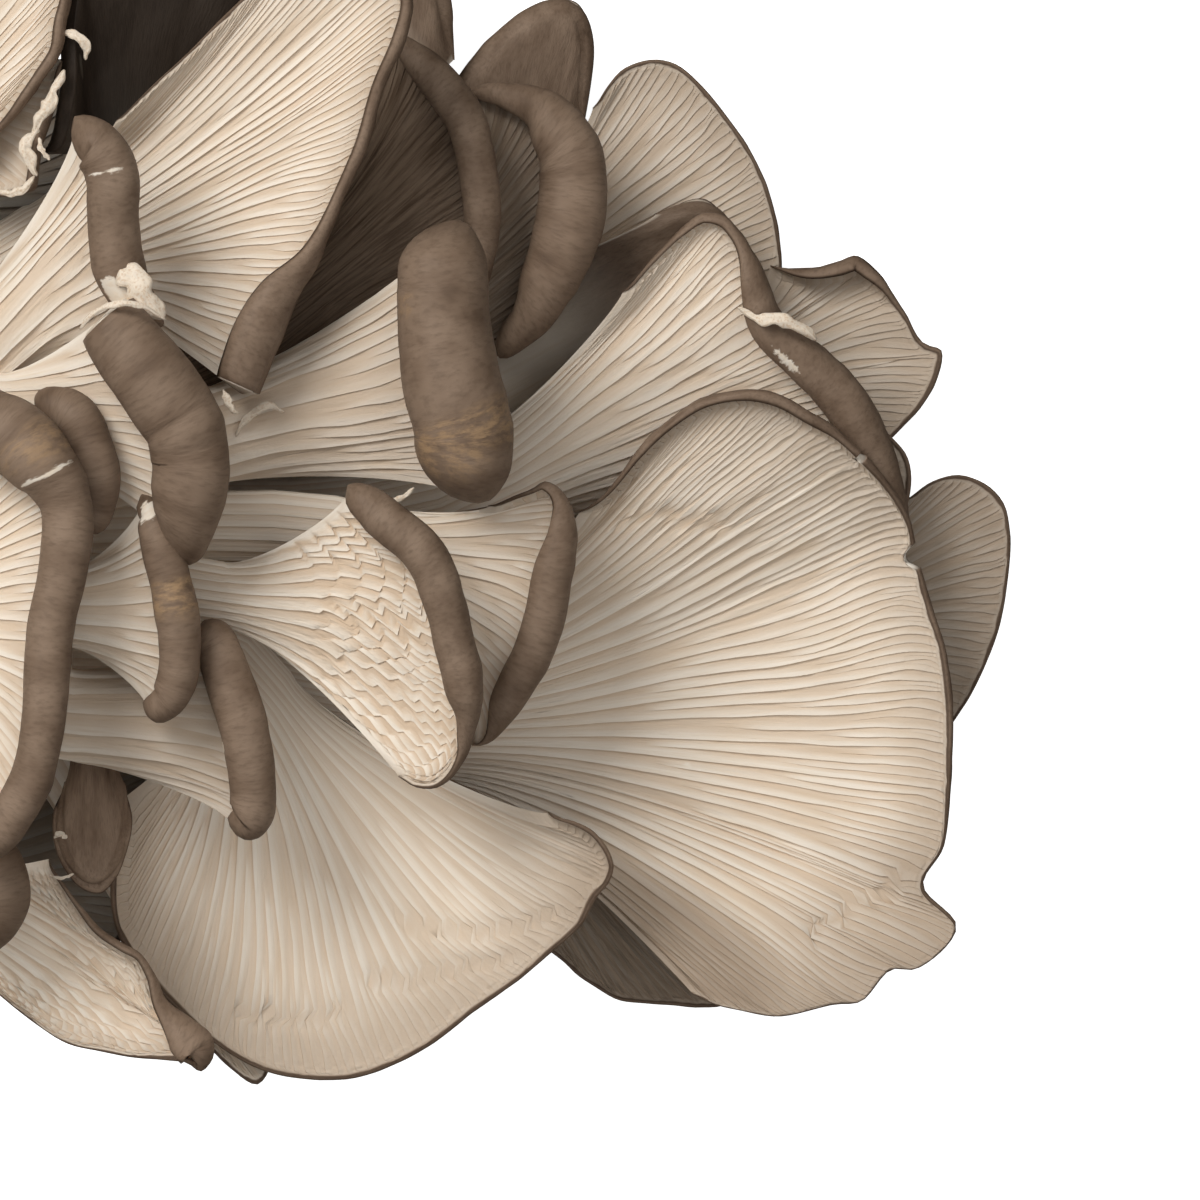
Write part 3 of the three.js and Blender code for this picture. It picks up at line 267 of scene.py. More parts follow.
    def stem_at(self, s, u, side):
        """The stem's skin, side 1 under the gills and -1 under the cap."""
        reach = np.linalg.norm(self.neck - self.foot)
        centre = bend(self.foot, self.neck, self.start * reach, self.aim * reach, s)
        ahead = bend(self.foot, self.neck, self.start * reach, self.aim * reach, s + 0.001)
        axis = unit(ahead - centre)
        wide = unit(np.cross(axis, self.gill_side))
        high = np.cross(wide, axis)
        turn = np.pi * u
        radius = self.stem * (1 + 0.12 * (1 - s) ** 2)
        radius = radius * (1 + 0.05 * np.sin(3 * turn * side + self.seed) + 0.04 * np.sin(9 * s + self.seed))
        sideways = (-np.cos(turn) * radius)[:, None] * wide
        return centre + sideways + (side * np.sin(turn) * radius * FLAT)[:, None] * high

    def edge(self, u):
        """Thickness of the flesh across the fan, nothing at its two side edges."""
        return np.clip(1 - (2 * np.clip(u, 0, 1) - 1) ** 2, 0, 1) ** 0.4

    def gill(self, u, v):
        """The smooth gill side."""
        place, out, inner, along, radius, angle = self.margin(u)
        thin = self.edge(u) * self.flesh * 0.55
        reach = (radius + thin) * np.where(angle > np.pi / 2, 1, np.sin(np.minimum(angle, np.pi / 2)))
        base = place - out * reach[:, None]
        turn = np.pi * u
        start = (
            self.neck + (-np.cos(turn) * self.stem)[:, None] * self.across
            + (np.sin(turn) * self.stem * FLAT)[:, None] * self.front
        )
        far = np.linalg.norm(base - start, axis=1)[:, None]
        chord = (base - start) / far
        straight = np.maximum((chord * out).sum(1, keepdims=True), 0.3)
        arrive = unit(straight * out + (chord * along).sum(1, keepdims=True) * along)
        leave = self.aim * np.clip(chord @ self.aim, 0.25, 1)[:, None] * far
        s = np.clip((v - STEM_END) / (ROLL_START - STEM_END), 0, 1)
        arrival = arrive * 0.3 * far + along * self.hook(u)[:, None] * np.minimum(far, HOOK_SPAN)
        cap = bend(start, base, leave, arrival, s)
        rolled = angle * np.clip((v - ROLL_START) / (1 - ROLL_START), 0, 1)
        roll = base + radius[:, None] * (
            inner * (1 - np.cos(rolled))[:, None] + out * np.sin(rolled)[:, None]
        )
        stem = self.stem_at(np.clip(v / STEM_END, 0, 1), u, 1)
        return np.where((v <= STEM_END)[:, None], stem, np.where((v <= ROLL_START)[:, None], cap, roll))

    def through(self, u, v):
        """The way through the flesh, from the cap's side to the gills."""
        place, out, inner, along, radius, angle = self.margin(u)
        s = np.clip((v - STEM_END) / (ROLL_START - STEM_END), 0, 1)[:, None]
        w = ease(s)
        rolled = (angle * np.clip((v - ROLL_START) / (1 - ROLL_START), 0, 1))[:, None]
        flat = unit((1 - w) * self.front + w * inner)
        return np.where(v[:, None] > ROLL_START, inner * np.cos(rolled) - out * np.sin(rolled), flat)

    def top(self, u, v):
        """The cap's side."""
        s = np.clip((v - STEM_END) / (ROLL_START - STEM_END), 0, 1)
        r = np.clip((v - ROLL_START) / (1 - ROLL_START), 0, 1)
        thick = self.edge(u) * self.flesh * (1.25 - 0.7 * s) * np.sqrt(np.clip(1 - r**2.2, 0, 1))
        w = ease(s / 0.45)
        core = 2 * self.stem * FLAT * np.sin(np.pi * u) * (1 - w)
        back = core[:, None] * self.front + (thick * w)[:, None] * self.through(u, v)
        stem = self.stem_at(np.clip(v / STEM_END, 0, 1), u, -1)
        return np.where((v <= STEM_END)[:, None], stem, self.gill(u, v) - back)


# ---- fine gills ------------------------------------------------------------------------------
def row_places(m):
    """v of each row, close together where the margin rolls and at its very edge."""
    stem_rows = np.linspace(0, STEM_END, STEM_ROWS, endpoint=False)
    span = m.reach
    cap_count = int(np.clip(span / m.row_step, 14, 80))
    cap = STEM_END + (ROLL_START - STEM_END) * np.linspace(0, 1, cap_count, endpoint=False) ** 0.92
    step = (ROLL_START - STEM_END) / span
    edge = ROLL_START - step * np.array([2.0, 1.5, 1.1, 0.8, 0.5, 0.25])
    middle = m.rim.at(np.array([0.5]))[0]
    arc = math.radians(max(middle[3], 20)) * middle[4]
    roll_count = int(np.clip(arc / ROLL_STEP, 4, 22))
    roll = np.linspace(ROLL_START, 1, roll_count + 1)
    tail = 1 - (1 - ROLL_START) * np.array([0.6, 0.3]) / roll_count
    rows = np.unique(np.round(np.concatenate([stem_rows, cap, edge, roll, tail]), 5))
    keep = [0]
    for i in range(1, len(rows)):
        if rows[i] - rows[keep[-1]] > 0.0015 or rows[i] == 1:
            keep.append(i)
    return rows[keep]


def tear_places(m):
    """Extra places along the rim at the walls and the bottom of each tear."""
    steps = np.array([-1.15, -1.0, -0.85, -0.7, -0.5, -0.3, 0.0, 0.3, 0.5, 0.7, 0.85, 1.0, 1.15])
    places = [place + steps * width / 2 / m.rim.length for place, width, _ in m.tears]
    return np.clip(np.concatenate(places), 0.002, 0.998) if places else np.zeros(0)


def gill_columns(m):
    """Places of the columns in gills from the first one, and which of them stand on a crest."""
    offsets = np.array(GILL_SAMPLES)
    base = np.concatenate([(np.arange(m.gills)[:, None] + offsets).ravel(), [m.gills]])
    extra = tear_places(m) * m.gills
    crest = np.tile(np.arange(len(offsets)) == 0, m.gills)
    crest = np.concatenate([crest, [True], np.zeros(len(extra), bool)])
    base = np.concatenate([base, extra])
    order = np.argsort(base, kind="stable")
    return base[order], crest[order]


def wander(m, base, v, along):
    """How far gills stray from even spacing, each on its own and together, in gills."""
    owner = np.floor(base)
    alone = 0.30 * smooth_noise(owner[None] * 0.37 + along / 5.5, m.seed)
    alone = alone + 0.16 * field(owner[None] * 0.9, along / 3.2, m.seed + 3)
    drift = 1.6 * field(base[None] * GILL_GAP / 16, along / 13, m.seed + 5)
    slot = ease((v - 0.05) / 0.2)
    off_sides = np.clip(np.minimum(base, m.gills - base) / 10, 0, 1)[None]
    return alone * slot, drift * slot * off_sides


def cracks(m, base, v, along):
    """How far gills step sideways at the torn cross-cracks, and how open these are, 0 to 1."""
    n = m.gills
    owner = np.floor(base)
    side = np.clip(np.minimum(base, n - base) / 3, 0, 1)[None]
    dip = np.zeros_like(v)
    jump = np.zeros_like(v)
    if m.stairs:
        where = along / STAIR_STEP + 0.8 * smooth_noise(owner[None] * 0.09, m.seed + 11)
        where = where + 0.10 * smooth_noise(owner[None] * 0.8, m.seed + 12) + 0.03 * owner[None]
        phase = where - np.floor(where)
        area = ease((v - 0.38) / 0.1) * ease((0.90 - v) / 0.05)
        patch = np.clip(0.9 + 0.9 * field(base[None] / 14, along / 9, m.seed + 13), 0, 1)
        saw = np.where(phase < 0.8, phase / 0.8, (1 - phase) / 0.2) - 0.5
        jump += m.stairs * STAIR_SHIFT * saw * area * patch * side
        dip = np.maximum(dip, m.stairs * area * patch * np.clip(1 - np.abs(phase - 0.9) / 0.12, 0, 1))
    for left, right, place, slope, size in m.breaks:
        inside = np.clip(np.minimum(base / n - left, right - base / n) * n / 3, 0, 1)[None]
        line = place + slope * (base / n - left)
        line = line + 0.012 * smooth_noise(owner * 0.6, m.seed + 17)
        line = line + 0.01 * (TABLE[(owner.astype(int) * 7) % 512] - 0.5)
        off = (v - line[None]) * m.reach / (ROLL_START - STEM_END)
        beyond = np.exp(-np.clip(off, 0, None) / 3.5)
        before = -0.35 * np.exp(np.clip(off, None, 0) / 2.5)
        jump += size * inside * np.where(off > 0, beyond, before)
        dip = np.maximum(dip, np.clip(inside * 1.2, 0, 1) * np.clip(1.4 - np.abs(off) / 0.75, 0, 1))
    return jump, dip


def gill_heights(m, rows, base, across):
    """Height of the gills at each row and column, and of each row's tallest one.

    Fewer gills start at the stem, and shorter ones are born between them on the way to the rim.
    """
    share = ease((rows - 0.3) / 0.5) ** 0.8
    wanted = PAGE_WIDE * (1 - share) + 1.1 * GILL_GAP * share
    width = np.clip(wanted / np.maximum(across, 1e-3), 1, 2**GILL_LEVELS)
    index = np.arange(m.gills + 1 + 2**GILL_LEVELS)
    level = np.zeros(len(index), int)
    for k in range(1, GILL_LEVELS + 1):
        level[index % 2 ** (GILL_LEVELS - k + 1) != 0] = k
    stride = 2.0 ** (GILL_LEVELS - level)
    jitter = 0.72 + 0.6 * TABLE[(index * 13 + m.seed * 5) % 512]
    born = ease((stride[None] * jitter[None] - width[:, None]) / (0.3 * stride[None]) + 0.55)
    born = np.where(level[None] == 0, 1, born)
    page = np.maximum(np.minimum(width[:, None], stride[None]), 1)
    tall = np.clip(0.27 * page * across[:, None], 0.1, GILL_HEIGHT) * born * m.height
    tall = tall * (0.7 + 0.5 * TABLE[(index * 29 + m.seed) % 512])[None]

    position = base[None] + np.zeros((len(rows), 1))
    lift = np.zeros_like(position)
    for step in range(0, 2**GILL_LEVELS + 1):
        target = (np.floor(base) + step).astype(int)
        far = target[None] - position
        rise = np.clip(1 - far / page[:, target], 0, 1)
        lift = np.maximum(lift, np.where(far >= -1e-6, tall[:, target] * rise, 0))
    return lift, np.maximum(tall.max(1)[:, None], 1e-3)


def gill_grid(m, rows):
    """Places of the gill side and its masks, each an array of rows by columns."""
    n = m.gills
    base, crest = gill_columns(m)
    v = rows[:, None] + 0 * base[None]
    along = (v - STEM_END) / (ROLL_START - STEM_END) * m.reach
    alone, drift = wander(m, base, v, along)
    jump, dip = cracks(m, base, v, along)
    x = base[None] + alone + drift + jump
    x[:, 0] = 0
    x[:, -1] = n
    x = np.clip(np.maximum.accumulate(x + 1e-4 * base[None], axis=1) / (n + 1e-4 * n), 0, 1)
    x[:, -1] = 1

    smooth = m.gill(x.ravel(), v.ravel()).reshape(*x.shape, 3)
    normal = m.through(x.ravel(), v.ravel()).reshape(*x.shape, 3)
    du = unit(np.roll(smooth, -1, 1) - np.roll(smooth, 1, 1))
    du[:, 0] = du[:, 1]
    du[:, -1] = du[:, -2]
    du = unit(du - (du * normal).sum(-1, keepdims=True) * normal)
    across = np.linalg.norm(np.diff(smooth, axis=1), axis=2).sum(1) / n
    crest_lift, tallest = gill_heights(m, rows, base, across)

    # nothing at the stem's root, at the sides and under the folded skin
    rim_line = np.linalg.norm(np.diff(smooth, axis=0), axis=2)
    to_rim = np.concatenate([np.cumsum(rim_line[::-1], 0)[::-1], np.zeros((1, x.shape[1]))], 0)
    skin_edge = SKIN_EDGE * (1 + 0.35 * smooth_noise(base * 0.45, m.seed + 2))[None]
    side = np.clip(np.minimum(base, n - base) / 3, 0, 1)[None]
    fade = ease((to_rim - skin_edge) / 0.9) * ease((v - 0.02) / 0.06) * side
    lift = crest_lift * fade * (1 - 0.9 * dip)
    lean = GILL_LEAN * lift * crest[None]
    places = smooth + normal * lift[..., None] + du * lean[..., None]
    ragged = 0.10 * field(base[None] * 1.3, along / 0.8, m.seed + 21) * fade
    places = places + normal * (ragged - CRACK_DEPTH * dip * fade)[..., None]

    skin = ease((skin_edge - to_rim) / 0.25 + 0.5)
    skin = np.maximum(skin, m.capped(x.ravel()).reshape(x.shape) * ease((v - 0.7) / 0.1))
    if m.skin_from < 0:
        skin = np.ones_like(skin)
    gape, _ = m.torn(x.ravel())
    ripped = np.clip(gape.reshape(x.shape) * 2.2, 0, 1) * ease((v - 0.9) / 0.05)
    # painted shade: the grooves between gills and the cross-cracks are darkened where shadow falls in them
    groove_shade = np.clip(1 - crest_lift / tallest, 0, 1) * fade
    groove_shade = np.maximum(groove_shade, dip * fade)
    return places, dict(skin=skin, groove_shade=groove_shade, torn=ripped, rim=to_rim, u=x * m.rim.length, v=along)


def quads(ids, flipped=False):
    """The quads of a grid of vertex numbers."""
    corners = [ids[:-1, :-1], ids[:-1, 1:], ids[1:, 1:], ids[1:, :-1]]
    if flipped:
        corners = [corners[0], corners[3], corners[2], corners[1]]
    return np.stack(corners, -1).reshape(-1, 4).tolist()


def zip_rows(a, place_a, b, place_b):
    """Triangles between two rows of vertex numbers that may differ in length."""
    i = j = 0
    faces = []
    while i < len(a) - 1 or j < len(b) - 1:
        step_a = i < len(a) - 1
        if j == len(b) - 1 or (step_a and place_a[i] + place_a[i + 1] <= place_b[j] + place_b[j + 1]):
            face = (a[i], a[i + 1], b[j])
            i += 1
        else:
            face = (a[i], b[j + 1], b[j])
            j += 1
        if len(set(face)) == 3:
            faces.append(face)
    return faces


def spots(m, places, x, y):
    """Soft spots at x along the rim and y from the neck, both in millimetres."""
    mask = np.zeros_like(x)
    for u, v, wide, long, strength in places:
        off = ((x - u * m.rim.length) / wide) ** 2
        off = off + ((y - (v - STEM_END) / (ROLL_START - STEM_END) * m.reach) / long) ** 2
        mask = np.maximum(mask, strength * np.clip(1.4 - off, 0, 1))
    return mask


def cap_side(m, rows):
    """Places of the cap's side, u and v, places along the rim and from the neck, and way to the rim."""
    columns = int(np.clip(m.gills * 0.75, 24, 140))
    top_u = np.unique(np.concatenate([np.linspace(0, 1, columns + 1), tear_places(m)]))
    u = np.tile(top_u, (len(rows), 1))
    v = np.tile(rows[:, None], (1, len(top_u)))
    top = m.top(u.ravel(), v.ravel()).reshape(*u.shape, 3)
    normal = m.through(u.ravel(), v.ravel()).reshape(*u.shape, 3)
    x = u * m.rim.length
    along = (v - STEM_END) / (ROLL_START - STEM_END) * m.reach
    steps = np.linalg.norm(np.diff(top, axis=0), axis=2)
    to_rim = np.concatenate([np.cumsum(steps[::-1], 0)[::-1], np.zeros((1, len(top_u)))], 0)
    # low bumps, but none where the columns run together, at the stem's root and at the sides
    bumps = 0.12 * field(x / 2.2, along / 3.5, m.seed + 31) + 0.2 * field(x / 7, along / 9, m.seed + 33)
    spread = np.linalg.norm(np.diff(top, axis=1), axis=2).mean(1) * (len(top_u) - 1) / m.rim.length
    quiet = np.clip(1.3 * spread - 0.3, 0, 1)[:, None] * ease(to_rim / 1.5)
    quiet = quiet * np.clip(np.sin(np.pi * u) * 4, 0, 1) * ease(v / 0.1)
    for _ in range(m.smoothing):
        top[:-1, 1:-1] = 0.5 * top[:-1, 1:-1] + 0.25 * (top[:-1, :-2] + top[:-1, 2:])
    return top - normal * (bumps * quiet)[..., None], u, v, x, along, to_rim


def mushroom_mesh(m):
    """One closed mesh with its masks. Gill side first, then the cap's side."""
    rows = row_places(m)
    gills, masks = gill_grid(m, rows)
    count, columns = gills.shape[:2]
    top, grid_u, grid_v, cap_x, along, to_rim = cap_side(m, rows)

    gill_ids = np.arange(count * columns).reshape(count, columns)
    top_ids = np.full(grid_u.shape, -1)
    top_ids[:, 0] = gill_ids[:, 0]
    top_ids[:, -1] = gill_ids[:, -1]
    inside = (slice(None, -1), slice(1, -1))
    top_ids[inside] = count * columns + np.arange(top_ids[inside].size).reshape(top_ids[inside].shape)
    heel = count * columns + top_ids[inside].size
    points = np.vstack([gills.reshape(-1, 3), top[inside].reshape(-1, 3), m.foot[None]])

    faces = quads(gill_ids) + quads(top_ids[:-1], flipped=True)
    last_u = masks["u"][-1] / m.rim.length
    for a, b, c in zip_rows(top_ids[-2], grid_u[0], gill_ids[-1], last_u):
        faces.append((b, a, c))
    ring = list(gill_ids[0]) + list(top_ids[0][1:-1][::-1])
    for k, here in enumerate(ring):
        faces.append((ring[(k + 1) % len(ring)], here, heel))

    # the cap's skin pales into the stem
    pale = ease((grid_v - m.skin_from) / 0.3)
    gape, _ = m.torn(grid_u.ravel())
    ripped = np.clip(gape.reshape(grid_u.shape) * 2.2, 0, 1) * ease((grid_v - 0.93) / 0.04)

    def both(gill_part, cap_part, at_heel=0):
        return np.concatenate([gill_part.ravel(), cap_part[inside].ravel(), [at_heel]])

    attributes = {
        "skin": both(masks["skin"], pale),
        # painted shade in the grooves between gills
        "groove_shade": both(masks["groove_shade"], np.zeros_like(pale)),
        "torn": both(masks["torn"], ripped),
        "rim": both(masks["rim"], to_rim, 50),
    }
    # bruises and scars mark the flesh; the third set of spots is painted shade on the gills
    for key, places in (("bruise", m.bruises), ("scar", m.scars), ("painted_shade", m.dims)):
        attributes[key] = both(spots(m, places, masks["u"], masks["v"]), spots(m, places, cap_x, along))
    grain = np.stack([both(masks["u"], cap_x), both(masks["v"], along), np.full(heel + 1, m.seed * 37.0)], -1)
    column = np.full(heel + 1, -1)
    column[: count * columns] = np.tile(np.arange(columns), (count, 1)).ravel()
    return points, faces, attributes, grain, column


def make_object(name, points, faces, attributes, grain, material, column=None):
    """A Blender object in metres and in the CAD's frame, kept above the floor.

    Edges between two points of the same gill column, numbered from 0, are sharp.
    """
    shifted = (points - np.array([CENTRE_X, CENTRE_Y, FLOOR])) / 1000
    shifted[:, 2] = np.maximum(shifted[:, 2], 0.0)
    mesh = bpy.data.meshes.new(name)
    mesh.from_pydata(shifted.tolist(), [], faces)
    mesh.polygons.foreach_set("use_smooth", np.ones(len(mesh.polygons), bool))
    for key, values in attributes.items():
        layer = mesh.attributes.new(key, "FLOAT", "POINT")
        layer.data.foreach_set("value", np.asarray(values, np.float32))
    layer = mesh.attributes.new("grain", "FLOAT_VECTOR", "POINT")
    layer.data.foreach_set("vector", np.asarray(grain, np.float32).ravel())
    if column is not None:
        ends = np.empty(len(mesh.edges) * 2, int)
        mesh.edges.foreach_get("vertices", ends)
        a, b = ends.reshape(-1, 2).T
        crisp = (column[a] == column[b]) & (column[a] >= 0)
        layer = mesh.attributes.new("sharp_edge", "BOOLEAN", "EDGE")
        layer.data.foreach_set("value", crisp)
    mesh.materials.append(material)
    mesh.update()
    piece = bpy.data.objects.new(name, mesh)
    bpy.context.scene.collection.objects.link(piece)
    return piece


# ---- the mushrooms, nearest first, as in the CAD ---------------------------------------------
# Rim points: x, y, z, angle through which the margin rolls in, radius of that roll.
SHAPES = {
    "left_fan": dict(
        foot=(-70, 3, 58), neck=(-72, -2, 72), stem=6, flesh=3.5,
        rim=[
            (-59.2, 31.6, 76, 235, 4.2), (-54.7, 30.6, 77, 235, 4.6), (-50.1, 28.5, 78, 240, 4.6),
            (-46.6, 25.4, 79, 240, 4.4), (-44, 21.8, 80, 240, 4), (-42.2, 18, 80, 240, 3.3),
            (-41.2, 13.5, 80, 235, 2.7), (-41.4, 8.7, 80, 235, 2.4), (-42.6, 2.1, 79.5, 235, 2.2),
            (-44.2, -4.8, 79, 235, 2.1), (-45.6, -19.4, 78, 235, 2.1), (-47.1, -25.2, 77, 230, 2.1),
            (-49.8, -30.7, 76, 230, 2.2), (-53.4, -35.3, 75, 220, 2.2), (-57.9, -38.1, 74, 200, 2.2),
        ],
    ),
    "left_roll": dict(
        foot=(-62, 12, 62), neck=(-56, 16, 66), stem=4, flesh=3,
        rim=[
            (-50.5, 30, 69.5, 220, 2), (-48, 30.5, 70, 225, 2.1), (-44.7, 30, 71, 235, 2.2),
            (-41.6, 28, 72, 235, 2.2), (-39.6, 24.5, 72, 235, 2.2), (-38.5, 20.8, 72, 235, 2.2),
            (-37.9, 16.9, 71, 235, 2.2), (-38.3, 13, 70, 230, 2.1), (-39.6, 10.1, 69, 225, 2),
            (-41.4, 8.2, 68, 220, 1.9),
        ],
    ),
    "small_curl_upper": dict(
        foot=(-58, 4, 60), neck=(-46, -1, 64), stem=5.5, flesh=3,
        rim=[
            (-35, 15.5, 70, 200, 1.2), (-32.3, 14, 71, 220, 1.5), (-30.5, 11.2, 72, 230, 1.8),
            (-29.1, 7.3, 72, 230, 2), (-28, 3.2, 72, 230, 2), (-27.2, -1.4, 72, 230, 2),
            (-26.8, -5.5, 71.5, 230, 1.9), (-26.9, -9.7, 71, 230, 1.9), (-27.8, -13.5, 70, 230, 2),
            (-29.6, -16.1, 69, 225, 2), (-32.4, -17.4, 68, 215, 2), (-34.8, -16.9, 67, 180, 1.8),
        ],
    ),
    "upper_left_cap": dict(
        foot=(-62, 16, 58), neck=(-60, 33, 64), stem=5.5, flesh=3, cut=(False, True),
        rim=[
            (-44, 68.8, 73.5, 235, 2.3), (-41.7, 67.9, 74, 235, 2.5), (-39.5, 66.9, 74, 235, 2.7),
            (-37.5, 65, 74, 235, 2.8), (-36, 62.3, 74, 235, 2.8), (-35.2, 58.7, 74, 235, 2.7),
            (-35.1, 54.7, 73.5, 235, 2.7), (-34.7, 51, 73, 235, 2.8), (-33.9, 47.4, 72.5, 235, 3),
            (-33, 43.2, 72, 225, 2.6), (-32.2, 39.9, 71, 200, 1.8), (-31.9, 37.7, 70, 150, 1.4),
        ],
    ),
    "left_middle_cap": dict(
        foot=(-58, 14, 60), neck=(-56, 26.5, 66), stem=5, flesh=3.5, cut=(True, False),
        rim=[
            (-35.7, 43.5, 75.5, 245, 4.2), (-33.6, 41.1, 75.8, 245, 4.3), (-31.5, 38.8, 76, 245, 4.4),
            (-29, 35.8, 76, 245, 4.4), (-26.7, 32.4, 75.5, 245, 4.4), (-24.5, 29.2, 75, 245, 4.4),
            (-22.9, 26.2, 75, 245, 4.4), (-22, 22.6, 74, 245, 4.4), (-21.7, 18.8, 73.5, 245, 4.4),
            (-22.3, 15.2, 73, 245, 4.3), (-23.3, 11.9, 72, 240, 4.1), (-24.7, 8.6, 71, 230, 3.6),
            (-26.5, 5.5, 70, 215, 2.6), (-28.1, 3.9, 69, 200, 2),
        ],
    ),
    "small_curl_lower": dict(
        foot=(-58, -6, 52), neck=(-46, -16, 56), stem=6.5, flesh=3,
        rim=[
            (-25.7, -1.4, 62.5, 225, 2.2), (-23.2, -2.5, 63, 235, 2.4), (-21.5, -4.6, 63.5, 235, 2.4),
            (-20.4, -7.6, 64, 235, 2.4), (-19, -12, 64, 235, 2.4), (-17.7, -16.1, 64, 235, 2.4),
            (-16.8, -20.6, 63.5, 235, 2.4), (-16.2, -24.8, 63, 235, 2.4), (-16.2, -27.8, 62.5, 235, 2.4),
            (-16.9, -30.9, 62, 230, 2.4), (-18.8, -33.1, 61, 225, 2.3), (-21.1, -33.8, 60.5, 215, 2.2),
            (-22.7, -33.4, 60, 200, 2),
        ],
    ),
    "middle_cap": dict(
        foot=(-58, 4, 52), neck=(-25, 1, 56), stem=4.4, flesh=3,
        rim=[
            (-6.5, 17.5, 66, 225, 1.8), (-3.7, 16.7, 66.5, 230, 2), (-0.9, 15.3, 67, 235, 2.2),
            (1.6, 13.2, 67.5, 235, 2.2), (5.5, 9.6, 68, 235, 2.1), (7.9, 6.2, 68, 235, 2.1),
            (9.5, 2.4, 68, 235, 2.1), (10.6, -1.5, 67.5, 230, 2), (11.2, -5.6, 67, 230, 1.9),
            (12, -9, 66.5, 230, 1.9), (12.2, -12.5, 66, 220, 1.8), (11.9, -15.6, 65, 190, 1.5),
            (10.9, -18.8, 64, 150, 1.2), (9.8, -22, 63, 110, 1), (7.8, -24.9, 62, 80, 1),
            (5.3, -26.4, 61, 60, 1), (2.4, -26.2, 60.5, 50, 1), (-0.1, -24.6, 60, 45, 1),
        ],
    ),
    "top_left_fan": dict(
        foot=(-68, 22, 50), neck=(-72, 56, 62), stem=6, flesh=3,
        rim=[
            (-65.2, 97.3, 66, 60, 1.5), (-53.4, 97.2, 67, 80, 1.5), (-45.3, 89.5, 68, 100, 1.5),
            (-44.5, 84, 68, 110, 1.4), (-45.6, 79.8, 68, 110, 1.3), (-46.3, 75.9, 68, 110, 1.3),
            (-48.4, 72.5, 68, 110, 1.3), (-50.7, 69.3, 67.5, 110, 1.3), (-53.1, 66.4, 67, 100, 1.3),
            (-56.5, 63.6, 66.5, 80, 1.3), (-61.6, 61.1, 66, 60, 1.3),
        ],
    ),
    "lower_left_edge": dict(
        foot=(-66, -4, 52), neck=(-70, -26, 56), stem=5, flesh=3,
        rim=[
            (-54.9, -30.9, 60, 200, 3), (-51.3, -34.1, 61, 230, 4.4), (-49.8, -38.1, 61, 230, 4.6),
            (-50, -42.6, 60, 230, 4.6), (-51.8, -46.4, 59, 230, 4.6), (-55.2, -49.8, 58, 230, 4.6),
            (-61.2, -52.3, 57, 200, 3),
        ],
    ),
    "centre_roll": dict(
        foot=(-58, 14, 48), neck=(-30, 22, 50), stem=6.5, flesh=3,
        rim=[
            (13.2, 53.5, 57.5, 250, 5.4), (13.6, 50.2, 57.8, 250, 5.5), (14.1, 47.1, 58, 250, 5.6),
            (14.3, 43.9, 58, 250, 5.6), (14.3, 40.1, 58, 250, 5.6), (14.8, 36.2, 58, 250, 5.7),
            (15.6, 32.3, 58, 250, 5.8), (16.8, 28.6, 57.5, 250, 6), (17.7, 24.8, 57, 250, 6.1),
            (17.7, 21.3, 56.5, 250, 6.1), (17.3, 18.1, 56, 250, 5.8), (16.4, 15.3, 55.5, 250, 5.3),
            (15.4, 12.8, 55, 250, 4.8),
        ],
    ),
    "lower_left_curl": dict(
        foot=(-60, -10, 42), neck=(-43, -21, 47), stem=3, flesh=3, gill_side=(0, 0, -1),
        rim=[
            (-46.9, -25.4, 50, 30, 1.6), (-49.4, -29.6, 51.5, 40, 1.6), (-49.4, -34.9, 53, 50, 1.6),
            (-47.4, -39.1, 53, 50, 1.5), (-44.6, -41.6, 53, 45, 1.4), (-41.3, -42.2, 52.5, 45, 1.4),
            (-38.5, -39.9, 53, 50, 1.5), (-36.8, -35.5, 53, 50, 1.6), (-36.5, -30.5, 51.5, 40, 1.6),
            (-38.3, -25.7, 50, 30, 1.6),
        ],
    ),
    "top_left_ruffle": dict(
        foot=(-66, 22, 46), neck=(-64.6, 69.6, 57), stem=5, flesh=3,
        rim=[
            (-46.2, 75.4, 64, 60, 1.2), (-46.4, 70.9, 65, 80, 1.3), (-47.5, 66.7, 65, 90, 1.3),
            (-48.7, 63.5, 65, 90, 1.3), (-49.4, 60.2, 64.5, 90, 1.3), (-50.4, 56.7, 64, 90, 1.3),
            (-53.8, 55.5, 63, 70, 1.2), (-59, 55.7, 62, 40, 1.1),
        ],
    ),
    "top_fan": dict(
        foot=(-62, 20, 42), neck=(-50, 49, 48), stem=6.5, flesh=3.5, cut=(False, True),
        rim=[
            (-39.4, 66.8, 60, 20, 1), (-34.7, 71.8, 60.5, 20, 1), (-29.1, 76.8, 61.5, 20, 1),
            (-23.2, 82.8, 62.5, 20, 1), (-15.8, 89.7, 64, 30, 1), (-6.8, 91.7, 64.5, 40, 1.2),
            (0.2, 89, 64.5, 60, 1.4), (2.4, 83.4, 64, 100, 1.4), (1.3, 77.6, 63.5, 110, 1.4),
            (-1.5, 70.7, 63, 110, 1.4), (-3.7, 62.6, 62, 115, 1.5), (-7.2, 54.3, 61, 120, 1.6),
            (-10.1, 47.6, 60.5, 150, 2.1), (-12.9, 41.8, 60, 200, 2.8), (-15.4, 35.5, 60, 225, 3.2),
            (-17.5, 30.6, 60, 225, 3.3), (-18.9, 27.4, 60, 225, 3.3),
        ],
    ),
    "top_left_brown": dict(
        foot=(-62, 24, 50), neck=(-38, 62, 47), stem=6, flesh=4, gill_side=(0, 0, -1),
        rim=[
            (-19.2, 75.4, 52, 60, 3), (-16.7, 88, 53, 70, 3), (-24.3, 98.4, 55, 80, 3),
